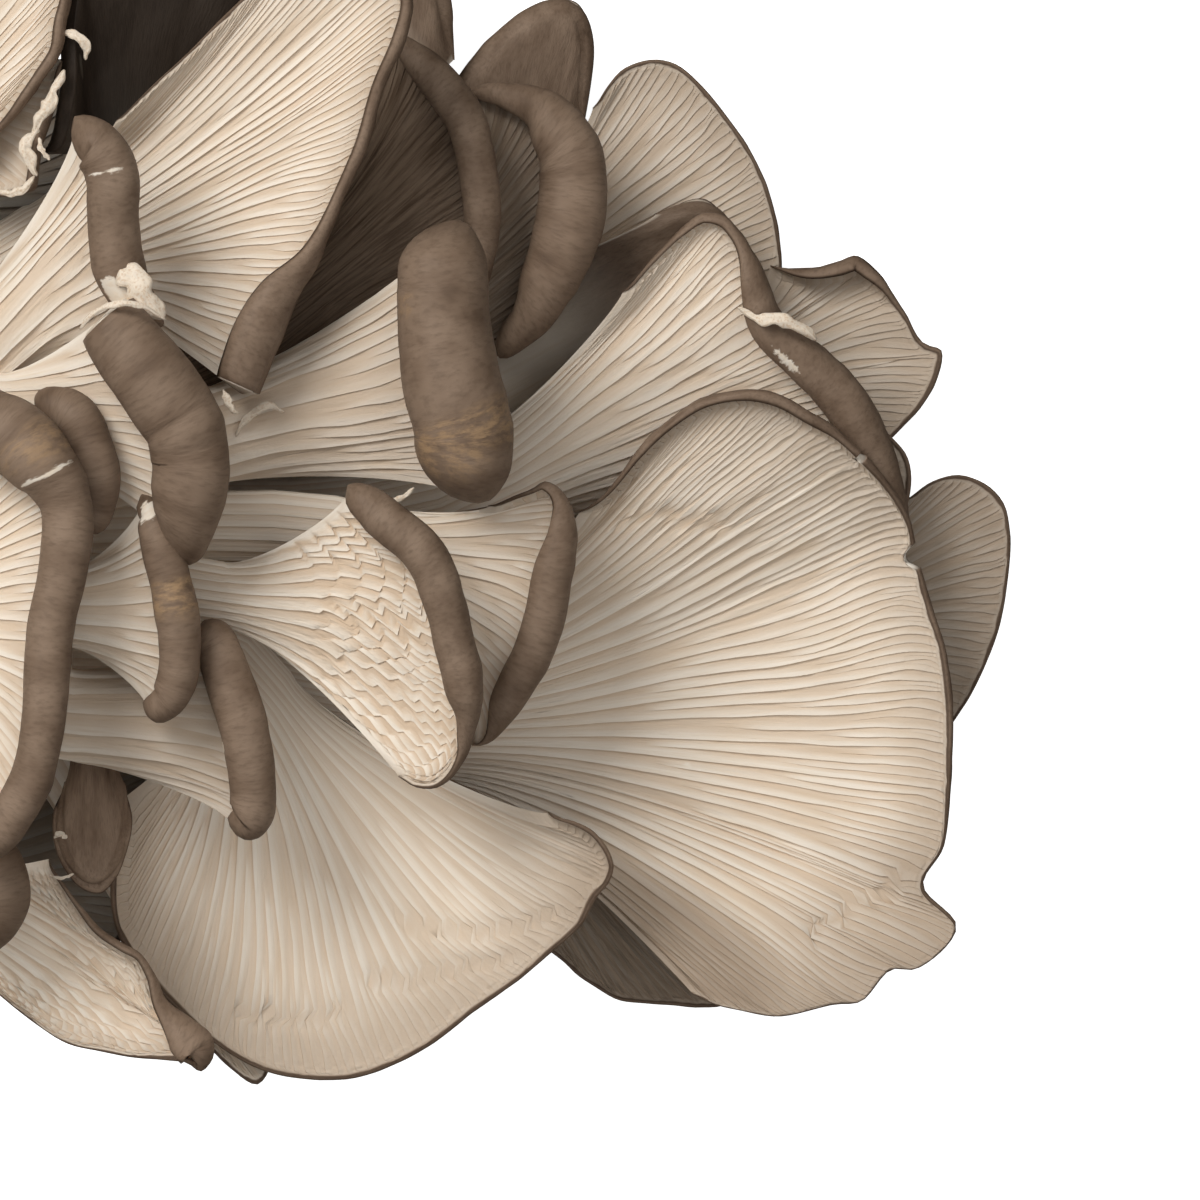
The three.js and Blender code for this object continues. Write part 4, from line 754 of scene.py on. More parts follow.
            (-38.9, 99.2, 59, 80, 3), (-46.3, 91.8, 62, 70, 2.4), (-47.9, 84.8, 63, 70, 2.2),
            (-48.1, 79.6, 63, 60, 2), (-47.8, 74.8, 63, 60, 2), (-48.1, 70.1, 62.5, 60, 2),
            (-48.8, 66, 62, 60, 2), (-49.7, 62.4, 61, 60, 2),
        ],
    ),
    "behind_middle": dict(
        foot=(-58, 9, 44), neck=(-2, 8, 46), stem=5, flesh=3,
        rim=[
            (12.3, 13.3, 50, 60, 1), (15.4, 15.1, 50.5, 80, 1.1), (17.9, 16.3, 51, 100, 1.2),
            (20.3, 17.3, 51.5, 110, 1.3), (22.4, 16.3, 52, 120, 1.3), (24.1, 14, 52, 150, 1.4),
            (25.1, 10.6, 52, 190, 1.6), (25.3, 7, 51.5, 220, 1.8), (24.8, 2.8, 51, 230, 2),
            (23.8, -2.5, 50.5, 230, 2), (21.8, -8.4, 50, 230, 2), (18.9, -13.3, 49, 230, 1.9),
            (15.8, -17.3, 48, 200, 1.7), (12.9, -20, 47.5, 130, 1.3), (10.6, -21.1, 47, 80, 1.1),
        ],
    ),
    "lower_fan": dict(
        foot=(-57, -6, 36), neck=(-22, -14, 36), stem=7.5, flesh=4,
        rim=[
            (20.7, -29.6, 45, 80, 1.4), (24.5, -30.1, 45, 80, 1.5), (27.7, -31.7, 44.5, 70, 1.5),
            (30, -34.5, 43.5, 70, 1.5), (30.8, -37.3, 43, 60, 1.5), (30, -40, 42, 60, 1.4),
            (28, -42.4, 41, 50, 1.3), (25.9, -46.3, 40, 40, 1.2), (21.7, -50.1, 38.5, 35, 1.2),
            (16.8, -54.1, 37, 30, 1.2), (11.1, -58.1, 35, 30, 1.2), (5.5, -62.2, 34, 30, 1.2),
            (-0.6, -65.6, 33, 30, 1.2), (-7.2, -68, 32.5, 30, 1.2), (-13.8, -68.1, 32.5, 30, 1.2),
            (-20.1, -66.8, 33, 30, 1.2), (-26, -63.6, 34, 30, 1.2), (-31.3, -58.8, 35.5, 40, 1.2),
            (-36.7, -53.4, 38, 60, 1.5), (-41, -46.3, 40, 70, 1.8), (-41.4, -39.3, 42, 80, 2),
            (-40.3, -33.6, 43, 80, 2), (-39.3, -28, 44, 60, 2),
        ],
    ),
    "lower_left_fan": dict(
        foot=(-64, -8, 44), neck=(-60, -42, 46), stem=6, flesh=3,
        rim=[
            (-48.9, -36.1, 51, 60, 1.2), (-46.6, -38.7, 52, 70, 1.2), (-44.1, -41.8, 52, 80, 1.3),
            (-41.4, -45.4, 51.5, 80, 1.3), (-38.4, -47.5, 51, 80, 1.3), (-35.6, -49.1, 50, 80, 1.3),
            (-33.7, -51.9, 49, 90, 1.4), (-31.9, -55.5, 48, 130, 1.8), (-28.5, -58.2, 47.5, 200, 2.2),
            (-25.7, -60.7, 47, 210, 2.3), (-25.6, -63.8, 46.5, 200, 2.2), (-27.6, -66.2, 46, 150, 1.6),
            (-30.4, -65.5, 46, 70, 1.2), (-36.4, -64.5, 46, 30, 1), (-42, -63.4, 46, 30, 1),
            (-46.8, -62.2, 46, 20, 1), (-51.4, -59.5, 46, 20, 1), (-56.7, -55.3, 46, 20, 1),
            (-62.7, -50.1, 46, 20, 1),
        ],
    ),
    "shaded_cap": dict(
        foot=(-58, 22, 38), neck=(-14, 42, 34), stem=6, flesh=3,
        rim=[
            (-2.2, 81.5, 37, 90, 1.5), (1.6, 79.5, 38, 160, 1.8), (5.5, 77.1, 39, 220, 1.9),
            (9, 73.4, 39, 230, 2), (11.9, 69.3, 39.5, 230, 2), (13.7, 64.6, 39.5, 230, 2),
            (14.5, 59, 39.5, 230, 1.9), (14.5, 53.3, 39, 225, 1.8), (13.8, 48.3, 38.5, 215, 1.7),
            (12.4, 43.5, 38, 190, 1.5), (10.9, 39.3, 37.5, 130, 1.2),
        ],
    ),
    "right_fan": dict(
        foot=(-58, 2, 27), neck=(0, -17, 24), stem=8.5, flesh=4,
        rim=[
            (24.9, 12.4, 38, 40, 1), (28, 15.4, 39, 80, 1.2), (32.2, 20.9, 41, 100, 1.3),
            (36.7, 25.4, 43, 105, 1.3), (42, 29.1, 44, 110, 1.3), (47.9, 30.3, 44, 110, 1.3),
            (53.2, 29.4, 43, 110, 1.3), (58.2, 26.8, 41, 105, 1.3), (62.4, 24.3, 39, 90, 1.2),
            (66.2, 20.4, 36, 70, 1.2), (69.2, 16.2, 33, 40, 1), (72.1, 11.3, 30, 30, 1),
            (73.4, 5.6, 28.5, 30, 1), (75.5, -0.7, 28, 40, 1), (77.5, -6.5, 27.5, 40, 1),
            (78.3, -13.4, 27, 40, 1), (78.5, -21.2, 26.5, 40, 1), (78.1, -26.8, 26.5, 30, 1),
            (76.8, -35, 27, 20, 1), (73.7, -40.5, 27, 15, 1), (78.2, -46.3, 27, 10, 1),
            (72.7, -51.9, 28, 10, 1), (69, -52.2, 28, 10, 1), (64.9, -56.8, 28, 10, 1),
            (61, -57.4, 28, 15, 1), (53.1, -59.2, 28.5, 15, 1), (47.2, -58.2, 29, 15, 1),
            (43.8, -57.2, 29, 15, 1), (41, -55.5, 29, 20, 1),
        ],
    ),
    "thick_roll": dict(
        foot=(-58, 20, 30), neck=(2, 36, 24), stem=6, flesh=3.5,
        rim=[
            (9.7, 72.7, 28, 200, 1), (13.5, 73.4, 29, 220, 1.2), (17.3, 73.2, 30, 235, 1.6),
            (21, 72.4, 30.5, 240, 2.4), (24.5, 70.4, 31, 245, 3.1), (27.6, 67.3, 31, 245, 3.5),
            (29.7, 63.4, 31, 245, 3.7), (30.3, 59.4, 31, 245, 3.7), (29.9, 54.6, 31, 245, 3.7),
            (28.6, 49.4, 31, 245, 3.6), (26.5, 44.8, 30.5, 240, 3.4), (23.2, 40.1, 30, 235, 3),
            (20.3, 37.2, 29.5, 225, 2.3), (17.3, 35.1, 28.5, 220, 1.9), (14.6, 33, 28, 220, 1.5),
        ],
    ),
    "right_upper_fan": dict(
        foot=(-58, 10, 30), neck=(14, 16.5, 28), stem=7.5, flesh=3.5,
        rim=[
            (31.1, 43.3, 37, 40, 1), (35, 48.7, 37.5, 60, 1.1), (39, 52.8, 38, 80, 1.2),
            (42.3, 54.8, 38.5, 90, 1.2), (45.8, 54.3, 38.5, 100, 1.2), (48.2, 52, 38, 105, 1.2),
            (50.6, 48.6, 37, 155, 1.5), (52.5, 44.4, 36, 200, 1.7), (54.2, 40.6, 35, 215, 1.9),
            (58.1, 37.4, 34, 220, 2.1), (62.9, 33.5, 32.5, 230, 2.3), (66.6, 28.3, 31, 230, 2.3),
            (69.2, 22.5, 29, 230, 2.2), (71.2, 16.6, 27, 220, 2), (72.1, 10.6, 24, 170, 1.6),
            (71.1, 4.9, 20, 110, 1.3), (68, -3.5, 15, 60, 1),
        ],
    ),
    "dark_brown_cap": dict(
        foot=(-58, 14, 30), neck=(22, 39, 20), stem=7.5, flesh=3, gill_side=(0, 0, -1),
        rim=[
            (52, 44.5, 22, 60, 2), (49.5, 50.2, 22, 60, 2), (47.4, 54.8, 22, 60, 2),
            (43.3, 58.1, 23, 60, 2), (39.3, 57.5, 24, 60, 2), (35.8, 54.6, 25, 60, 2),
        ],
    ),
    "upper_right_cap": dict(
        foot=(-60, 16, 22), neck=(14, 40, 12), stem=6, flesh=3,
        rim=[
            (26.9, 69.7, 15, 30, 1), (28.8, 73.1, 16, 30, 1), (31.1, 75.6, 16, 30, 1),
            (35.1, 76.9, 16, 30, 1), (38.6, 76.3, 16, 30, 1), (42.2, 73.5, 16, 30, 1),
            (46.7, 68.3, 16, 30, 1), (50.2, 62.9, 15.5, 30, 1), (52.5, 57.2, 15, 30, 1),
            (53.9, 50.3, 14, 30, 1), (53.8, 43.9, 13.5, 30, 1), (52.8, 38.3, 13, 30, 1),
        ],
    ),
    "far_right_upper": dict(
        foot=(-60, 8, 22), neck=(45, 30, 14), stem=5, flesh=3,
        rim=[
            (52.1, 47.9, 16.5, 60, 1.5), (56.3, 48, 17, 120, 2.2), (61.3, 48.7, 17, 130, 2.2),
            (64.4, 49.4, 17, 130, 2), (67.4, 47.3, 17, 120, 2), (70, 44.3, 17, 90, 1.5),
            (71.6, 40.8, 17, 30, 1), (74, 36.8, 16.5, 30, 1), (76.7, 35.4, 16.5, 30, 1),
            (75.9, 30.4, 16, 40, 1.2), (73.6, 26.6, 15, 40, 1.2), (70.2, 23.4, 14, 30, 1),
            (65.1, 18.4, 13.5, 30, 1),
        ],
    ),
    "small_right": dict(
        foot=(-58, 4, 22), neck=(50, 12, 19), stem=4.5, flesh=3,
        rim=[
            (65, 26.9, 20, 30, 1), (69, 24, 20, 30, 1), (71.7, 20.9, 20, 30, 1),
            (72.4, 17.7, 20, 30, 1), (71.6, 12.7, 20, 30, 1), (69, 7.1, 19, 30, 1),
        ],
    ),
    "far_right": dict(
        foot=(-58, -4, 18), neck=(57, -5, 11), stem=5, flesh=3,
        rim=[
            (71.2, 14.2, 13, 20, 1), (74.8, 17, 13, 20, 1), (78.8, 18, 13, 20, 1),
            (82.6, 16.6, 13, 20, 1), (85.3, 13.8, 13, 20, 1), (86.4, 9.2, 13, 20, 1),
            (86.3, 3.5, 13, 20, 1), (84.7, -4.3, 12, 20, 1), (81.2, -12.8, 11, 20, 1),
            (76.3, -19.9, 10, 20, 1),
        ],
    ),
    "top_back_cap": dict(
        foot=(-60, 24, 32), neck=(0, 74, 24), stem=5, flesh=3.5, gill_side=(0, 0, -1),
        rim=[
            (7.5, 76.3, 22, 60, 2.5), (8.5, 83.3, 23, 60, 2.5), (6.8, 91.8, 24, 60, 2.5),
            (-2.6, 98.8, 25, 60, 2.5), (-9.7, 93.8, 26, 60, 2.5),
        ],
    ),
    "top_brown_cap": dict(
        foot=(-60, 20, 26), neck=(16, 60, 14), stem=5, flesh=3.5, gill_side=(0, 0, -1),
        rim=[
            (25.6, 65.9, 14, 60, 2.2), (28, 73, 14, 60, 2.2), (28.6, 80.5, 14, 60, 2.2),
            (25.9, 86.1, 15, 60, 2.2), (20.9, 87.1, 16, 60, 2.2), (14.6, 83.2, 17, 60, 2.2),
            (9, 77.6, 17, 60, 2.2), (5.3, 70.1, 17, 60, 2.2),
        ],
    ),
    "behind_left_upper": dict(
        foot=(-62, 18, 34), neck=(-63, 55.8, 25), stem=6, flesh=3.5,
        rim=[
            (-50.9, 78.2, 31, 40, 1.5), (-41.7, 72.9, 31, 40, 1.5), (-36.8, 63.4, 31, 40, 1.5),
            (-35.9, 54.2, 31, 40, 1.5), (-37.5, 44.4, 31, 40, 1.5), (-41.7, 37.3, 31, 40, 1.5),
            (-50.9, 34.5, 31, 40, 1.5),
        ],
    ),
    "far_lower": dict(
        foot=(-58, -6, 20), neck=(10, -28, 10.5), stem=5, flesh=3,
        rim=[
            (47.1, -49.6, 12, 20, 1), (46.2, -57.4, 12, 20, 1), (42.2, -58, 12, 20, 1),
            (38.2, -57.6, 12, 20, 1), (33.8, -57.4, 12, 20, 1), (30.4, -57, 12, 20, 1),
            (27.3, -55.3, 12, 20, 1), (24.7, -53.5, 12, 20, 1), (22, -50.9, 12, 20, 1),
            (15.2, -46.1, 12, 20, 1), (6.7, -40.4, 12, 20, 1),
        ],
    ),
    "behind_left_lower": dict(
        foot=(-62, -6, 30), neck=(-63.1, -38.1, 23), stem=6, flesh=3.5,
        rim=[
            (-51, -20, 27, 40, 1.5), (-39.7, -19, 27.5, 40, 1.5), (-31.5, -22.6, 28.5, 40, 1.5),
            (-30.9, -32.4, 28.5, 40, 1.5), (-35.4, -43, 28.5, 40, 1.5), (-41.4, -50, 28, 40, 1.5),
            (-50.3, -52.2, 27, 40, 1.5),
        ],
    ),
    "bottom_tip": dict(
        foot=(-58, -10, 30), neck=(-29, -54, 28), stem=3, flesh=2.5,
        rim=[
            (-22.7, -57.1, 29, 20, 1), (-19.4, -61.3, 29, 20, 1), (-18.2, -65.7, 29, 20, 1),
            (-20.3, -68.5, 29, 20, 1), (-24.4, -66, 29, 20, 1), (-27.7, -62.7, 29, 20, 1),
        ],
    ),
    "hidden_left_upper": dict(
        foot=(-70, 22, 34), neck=(-76, 44, 22), stem=6, flesh=3.5,
        rim=[
            (-96, 54, 13, 40, 2), (-95, 70, 10, 40, 2), (-84, 82, 8.8, 40, 2),
            (-68, 80, 9.5, 40, 2), (-60, 66, 13, 40, 2),
        ],
    ),
    "hidden_left_lower": dict(
        foot=(-72, -8, 30), neck=(-76, -26, 20), stem=6, flesh=3.5,
        rim=[
            (-58, -42, 12, 40, 2), (-64, -53, 9.5, 40, 2), (-78, -56, 8.5, 40, 2),
            (-90, -50, 9.5, 40, 2), (-93, -34, 13, 40, 2),
        ],
    ),
}


# ---- looks of each mushroom: gills, cracks, tears, scars, bruises and painted shade ----------
# Tears: place along the rim, width and depth. Breaks: from and to along the rim, v, slope, sideways step.
# Scars, bruises and spots of painted shade: u, v, half width, half length and strength.
LOOKS = {
    "left_fan": dict(
        scars=[(0.25, 0.93, 0.3, 2.2, 0.8)],
        bruises=[(0.2, 0.9, 3, 4, 0.7)], shade=1.05,
    ),
    "left_middle_cap": dict(scars=[(0.0, 0.9, 0.9, 7, 1.0)]),
    "upper_left_cap": dict(
        scars=[(0.80, 0.95, 2.4, 1.6, 1.0), (0.36, 0.93, 0.2, 2.6, 0.7)],
    ),
    "middle_cap": dict(
        stairs=1.15, row_step=0.55, grooves=0.75,
    ),
    "centre_roll": dict(
        bruises=[(0.66, 0.9, 4, 8, 0.9), (0.78, 0.95, 5, 4, 0.8), (0.3, 0.97, 1.2, 1.2, 0.8)],
        dims=[(0.6, 0.5, 40, 16, 0.3)],
    ),
    "small_curl_upper": dict(
        scars=[(0.09, 0.93, 2.2, 1.3, 0.9)],
        bruises=[(0.42, 0.9, 3, 3.5, 0.9)],
    ),
    "small_curl_lower": dict(scars=[(0.52, 0.99, 1.4, 0.35, 0.9)], dims=[(0.5, 0.55, 40, 14, 0.38)]),
    "lower_left_curl": dict(skin_from=-0.2, shade=1.15, smoothing=60),
    "top_back_cap": dict(smoothing=40),
    "top_brown_cap": dict(smoothing=40),
    "right_fan": dict(
        tears=[(0.31, 1.5, 1.5), (0.42, 3.5, 2.2)],
        breaks=[
            (0.69, 0.765, 0.745, -1.4, 2.2), (0.755, 0.835, 0.64, 0.33, 2.6), (0.16, 0.3, 0.55, 0.3, 1.2),
        ],
        # painted shade: a wider, stronger rim band and three soft dark spots
        scars=[(0.633, 0.48, 1.0, 0.7, 0.7)], rim_wide=12.0, rim_tan=0.6,
        dims=[(0.12, 0.85, 22, 12, 0.35), (0.82, 0.8, 30, 20, 0.42), (0.97, 0.6, 20, 24, 0.75)],
    ),
    "right_upper_fan": dict(scars=[(0.44, 0.96, 3.5, 0.8, 0.9)]),
    # painted light and shade: lower_fan is lightened all over, its rim band and two spots darkened
    "lower_fan": dict(
        breaks=[(0.18, 0.38, 0.76, -0.98, 2.4), (0.26, 0.46, 0.75, -0.72, 2.0), (0.48, 0.66, 0.65, 0.2, 2.0)],
        shade=1.12, height=0.75, grooves=0.5, rim_wide=17.0, rim_tan=0.8,
        dims=[(0.12, 0.85, 14, 9, 0.35), (0.45, 1.0, 44, 9, 0.6)],
    ),
    "lower_left_fan": dict(stairs=0.9, row_step=0.8, shade=1.15),
    # painted shade: these caps' gills are pulled to a shadowed brown, and whole caps darkened or lightened,
    # where they lie in shade or light
    "shaded_cap": dict(tone=1.0),
    "thick_roll": dict(tone=0.85, shade=1.12),
    "dark_brown_cap": dict(shade=0.8, smoothing=30),
    "upper_right_cap": dict(tone=0.25),
    "far_right_upper": dict(tone=0.15, rim_wide=14.0, rim_tan=0.8),
    "far_right": dict(tone=0.5),
    "small_right": dict(tone=0.3),
    "far_lower": dict(tone=0.7),
    # painted shade: this cap is darkened almost to black for the deep shade it lies in
    "top_left_brown": dict(shade=0.16),
    "top_left_ruffle": dict(dims=[(0.5, 0.35, 60, 9, 1.0)]),
    # painted shade: these two caps are darkened for the deep shade they lie in
    "behind_left_upper": dict(shade=0.35),
    "behind_left_lower": dict(shade=0.35),
}


# ---- materials -------------------------------------------------------------------------------
class Shader:
    """Short names for building a node material."""

    def __init__(self, name):
        self.material = bpy.data.materials.new(name)
        self.material.use_nodes = True
        self.tree = self.material.node_tree
        self.tree.nodes.clear()
        self.output = self.tree.nodes.new("ShaderNodeOutputMaterial")

    def node(self, kind, **settings):
        made = self.tree.nodes.new(kind)
        for key, value in settings.items():
            setattr(made, key, value)
        return made

    def link(self, value, socket):
        if isinstance(value, bpy.types.NodeSocket):
            self.tree.links.new(value, socket)
        else:
            socket.default_value = value

    def attribute(self, name, output="Fac"):
        return self.node("ShaderNodeAttribute", attribute_name=name).outputs[output]

    def math(self, operation, a, b):
        made = self.node("ShaderNodeMath", operation=operation)
        self.link(a, made.inputs[0])
        self.link(b, made.inputs[1])
        return made.outputs[0]

    def stretch(self, vector, scale):
        made = self.node("ShaderNodeVectorMath", operation="MULTIPLY")
        self.link(vector, made.inputs[0])
        made.inputs[1].default_value = scale
        return made.outputs[0]

    def noise(self, vector, scale, detail=3.0, roughness=0.5):
        made = self.node("ShaderNodeTexNoise")
        self.link(vector, made.inputs["Vector"])
        made.inputs["Scale"].default_value = scale
        made.inputs["Detail"].default_value = detail
        made.inputs["Roughness"].default_value = roughness
        return made.outputs["Fac"]

    def span(self, value, low, high, to_low=0.0, to_high=1.0):
        made = self.node("ShaderNodeMapRange", interpolation_type="SMOOTHSTEP")
        self.link(value, made.inputs["Value"])
        made.inputs["From Min"].default_value = low
        made.inputs["From Max"].default_value = high
        made.inputs["To Min"].default_value = to_low
        made.inputs["To Max"].default_value = to_high
        return made.outputs["Result"]

    def mix(self, factor, a, b, blend="MIX"):
        made = self.node("ShaderNodeMix", data_type="RGBA", blend_type=blend)
        self.link(factor, made.inputs["Factor"])
        self.link(a if isinstance(a, bpy.types.NodeSocket) else (*a, 1.0), made.inputs[6])
        self.link(b if isinstance(b, bpy.types.NodeSocket) else (*b, 1.0), made.inputs[7])
        return made.outputs[2]

    def surface(self, colour, roughness, gloss):
        """Joins a surface to the output, and gives its node."""
        made = self.node("ShaderNodeBsdfPrincipled")
        self.link(colour, made.inputs["Base Color"])
        made.inputs["Roughness"].default_value = roughness
        made.inputs["Specular IOR Level"].default_value = gloss
        self.link(made.outputs[0], self.output.inputs[0])
        return made

    def bump(self, surface, height, distance, strength):
        """Low relief on a surface, from a height of 0 to 1 and a distance in metres."""
        made = self.node("ShaderNodeBump")
        made.inputs["Strength"].default_value = strength
        made.inputs["Distance"].default_value = distance
        self.link(height, made.inputs["Height"])
        self.link(made.outputs["Normal"], surface.inputs["Normal"])


# Colours, linear.
GILL_CREAM = (0.86, 0.775, 0.665)
GILL_WARM = (0.80, 0.69, 0.555)
# tan: painted shade in the gills' grooves and cracks, and plain tan patches on stems and torn flaps
TAN_AND_GROOVE_SHADE = (0.60, 0.43, 0.28)
RIM_TAN_AND_SHADE = (0.47, 0.375, 0.285)  # the gills' band along the rim: their own tan, partly painted shade where a cap curves away
PAINTED_SHADE_TAN = (0.30, 0.22, 0.155)  # painted shade on gills, in soft spots
PAINTED_SHADE_GREY = (0.22, 0.155, 0.105)  # painted shade for gills in deep shade, with its streaks
PAINTED_SHADE_BROWN = (0.095, 0.058, 0.034)
SKIN_GREY = (0.172, 0.115, 0.077)
SKIN_LIGHT = (0.252, 0.178, 0.125)
SKIN_DARK = (0.075, 0.047, 0.030)
EDGE_DARK = (0.050, 0.030, 0.019)
BRUISE = (0.36, 0.235, 0.13)
TORN_WHITE = (0.84, 0.77, 0.67)
FLAP_CREAM = (0.72, 0.63, 0.52)
STEM_CREAM = (0.76, 0.66, 0.52)
PAPER_SHADE = (0.90, 0.90, 0.90)
PAPER_WHITE = (0.93, 0.93, 0.93)
PAPER_GLOW = 0.95  # keeps the paper white under the cluster's shade


def flesh_material(name, m):
    """Pale gills and grey-brown skin, told apart by the masks that the mesh carries."""
    s = Shader(name)
    grain = s.attribute("grain", "Vector")
    skin_mask = s.attribute("skin")
    groove_shade = s.attribute("groove_shade")
    torn = s.attribute("torn")
    rim = s.attribute("rim")

    # gills: cream, warmer in patches, with streaks along each gill; painted shade in the grooves, in soft
    # spots and on gills in deep shade; a tan band near the rim, partly their own tint and partly painted
    # shade
    streak = s.noise(s.stretch(grain, (1.1, 0.10, 1.0)), 1.0, 2.0, 0.6)
    cloud = s.noise(s.stretch(grain, (0.13, 0.09, 1.0)), 1.0, 2.0)
    gill = s.mix(s.span(streak, 0.4, 0.8), GILL_CREAM, GILL_WARM)
    gill = s.mix(s.span(cloud, 0.45, 0.75, 0.0, 0.6), gill, GILL_WARM)
    # painted shade in the grooves and cracks
    gill = s.mix(s.span(groove_shade, 0.2, 1.0, 0.0, m.grooves), gill, TAN_AND_GROOVE_SHADE)
    # the rim band: the gills' own tan, deepened as painted shade on some caps
    gill = s.mix(s.span(rim, 0.3, m.rim_wide, m.rim_tan, 0.0), gill, RIM_TAN_AND_SHADE)
    # painted shade in soft spots
    gill = s.mix(s.attribute("painted_shade"), gill, PAINTED_SHADE_TAN)
    # painted deep shade: the gills' colour is pulled toward a shadowed grey-brown
    gill = s.mix(m.tone, gill, s.mix(s.span(streak, 0.35, 0.75), PAINTED_SHADE_GREY, PAINTED_SHADE_BROWN))

    # skin: grey-brown and satin, softly mottled, darkest along the very edge
    blotch = s.noise(s.stretch(grain, (0.17, 0.17, 1.0)), 1.0, 3.0, 0.6)
    fibre = s.noise(s.stretch(grain, (1.7, 0.9, 1.0)), 1.0, 3.0, 0.6)
    skin = s.mix(s.span(blotch, 0.3, 0.7), SKIN_LIGHT, SKIN_GREY)
    skin = s.mix(s.span(blotch, 0.60, 0.80, 0.0, 0.6), skin, SKIN_DARK)
    skin = s.mix(s.span(fibre, 0.42, 0.78, 0.0, 0.4), skin, SKIN_DARK)
    skin = s.mix(s.span(rim, 0.45, 0.12, 0.0, 0.6), skin, EDGE_DARK)
    patch = s.noise(s.stretch(grain, (0.75, 0.65, 1.0)), 1.0, 4.0, 0.65)
    bruise = s.math("MULTIPLY", s.attribute("bruise"), s.span(patch, 0.38, 0.68))
    skin = s.mix(bruise, skin, BRUISE)

    # scars: pale torn flesh with ragged edges
    scar = s.math("ADD", s.attribute("scar"), s.span(fibre, 0.2, 0.8, -0.35, 0.15))
    colour = s.mix(skin_mask, gill, skin)
    flake = s.mix(s.span(patch, 0.35, 0.65), TORN_WHITE, GILL_WARM)
    colour = s.mix(s.span(scar, 0.3, 0.6, 0.0, 0.9), colour, flake)
    colour = s.mix(torn, colour, TORN_WHITE)
    # painted shading: the whole colour is darkened as painted shade, or lightened as painted light above 1
    colour = s.mix(1.0, colour, (m.shade, m.shade, m.shade), "MULTIPLY")

    surface = s.surface(colour, roughness=0.6, gloss=0.22)
    s.bump(surface, fibre, distance=0.00022, strength=0.4)
    return s.material


def stem_material():
    """Cream stems, fibrous along their length."""
    s = Shader("stem_flesh")
    grain = s.attribute("grain", "Vector")
    fibre = s.noise(s.stretch(grain, (0.2, 1.6, 1.6)), 1.0, 5.0, 0.6)
    cloud = s.noise(grain, 0.09, 3.0)
    colour = s.mix(s.span(fibre, 0.3, 0.75), STEM_CREAM, GILL_WARM)
    colour = s.mix(s.span(cloud, 0.5, 0.8, 0.0, 0.5), colour, TAN_AND_GROOVE_SHADE)
    surface = s.surface(colour, roughness=0.7, gloss=0.3)
    s.bump(surface, fibre, distance=0.0006, strength=0.7)
    return s.material


def floor_material():
    """Plain white paper with a barely seen tooth."""
    s = Shader("floor_paper")
    place = s.node("ShaderNodeTexCoord").outputs["Object"]
    tooth = s.noise(place, 900.0, 2.0)
    colour = s.mix(s.span(tooth, 0.3, 0.7), PAPER_SHADE, PAPER_WHITE)
    surface = s.surface(colour, roughness=0.95, gloss=0.0)
    surface.inputs["Emission Color"].default_value = (1.0, 1.0, 1.0, 1.0)
    surface.inputs["Emission Strength"].default_value = PAPER_GLOW
    return s.material


# ---- the knot of joined stems ----------------------------------------------------------------
KNOT_CENTRE = (-67, 6, 40)  # millimetres in the layout
KNOT_HALF = (17, 27, 25)
KNOT_CUT = -80  # x of the root end
KNOT_AROUND = 132  # points round each ring
KNOT_RINGS = 84


def knot_mesh():
    """A lumpy egg of stem flesh with ridges where stems ran together, cut across its root end."""
    tilt = np.pi * np.arange(1, KNOT_RINGS)[:, None] / KNOT_RINGS
    turn = 2 * np.pi * np.arange(KNOT_AROUND)[None] / KNOT_AROUND
    twist = tilt / np.pi * 11
    lump = 1 + 0.05 * np.sin(5 * turn + 1.3 * twist) + 0.03 * np.sin(3 * turn - twist)
    lump = lump + 0.02 * np.sin(17 * turn + 2 * np.sin(2.2 * tilt))
    lump = lump + 0.008 * np.sin(41 * turn + 3 * np.sin(3 * tilt))
    x = KNOT_CENTRE[0] + KNOT_HALF[0] * lump * np.cos(tilt)
    y = KNOT_CENTRE[1] + KNOT_HALF[1] * lump * np.sin(tilt) * np.cos(turn)
    z = KNOT_CENTRE[2] + KNOT_HALF[2] * lump * np.sin(tilt) * np.sin(turn)
    cut = KNOT_CUT + 0.5 * field(y / 3.1, z / 3.1, 4) + 0.25 * field(y / 1.2, z / 1.2, 9)
    x = np.maximum(x, cut)
    grid = np.stack([x, y, z], -1).reshape(-1, 3)
    front = [KNOT_CENTRE[0] + KNOT_HALF[0], KNOT_CENTRE[1], KNOT_CENTRE[2]]
    rear = [KNOT_CUT, KNOT_CENTRE[1], KNOT_CENTRE[2]]
    points = np.vstack([grid, front, rear])
    ids = np.arange((KNOT_RINGS - 1) * KNOT_AROUND).reshape(KNOT_RINGS - 1, KNOT_AROUND)
    after = np.roll(ids, -1, 1)
    faces = np.stack([ids[:-1], ids[1:], after[1:], after[:-1]], -1).reshape(-1, 4).tolist()
    top, bottom = len(grid), len(grid) + 1
    for k in range(KNOT_AROUND):
        faces.append((top, ids[0, k], after[0, k]))
        faces.append((bottom, after[-1, k], ids[-1, k]))
    return points, faces


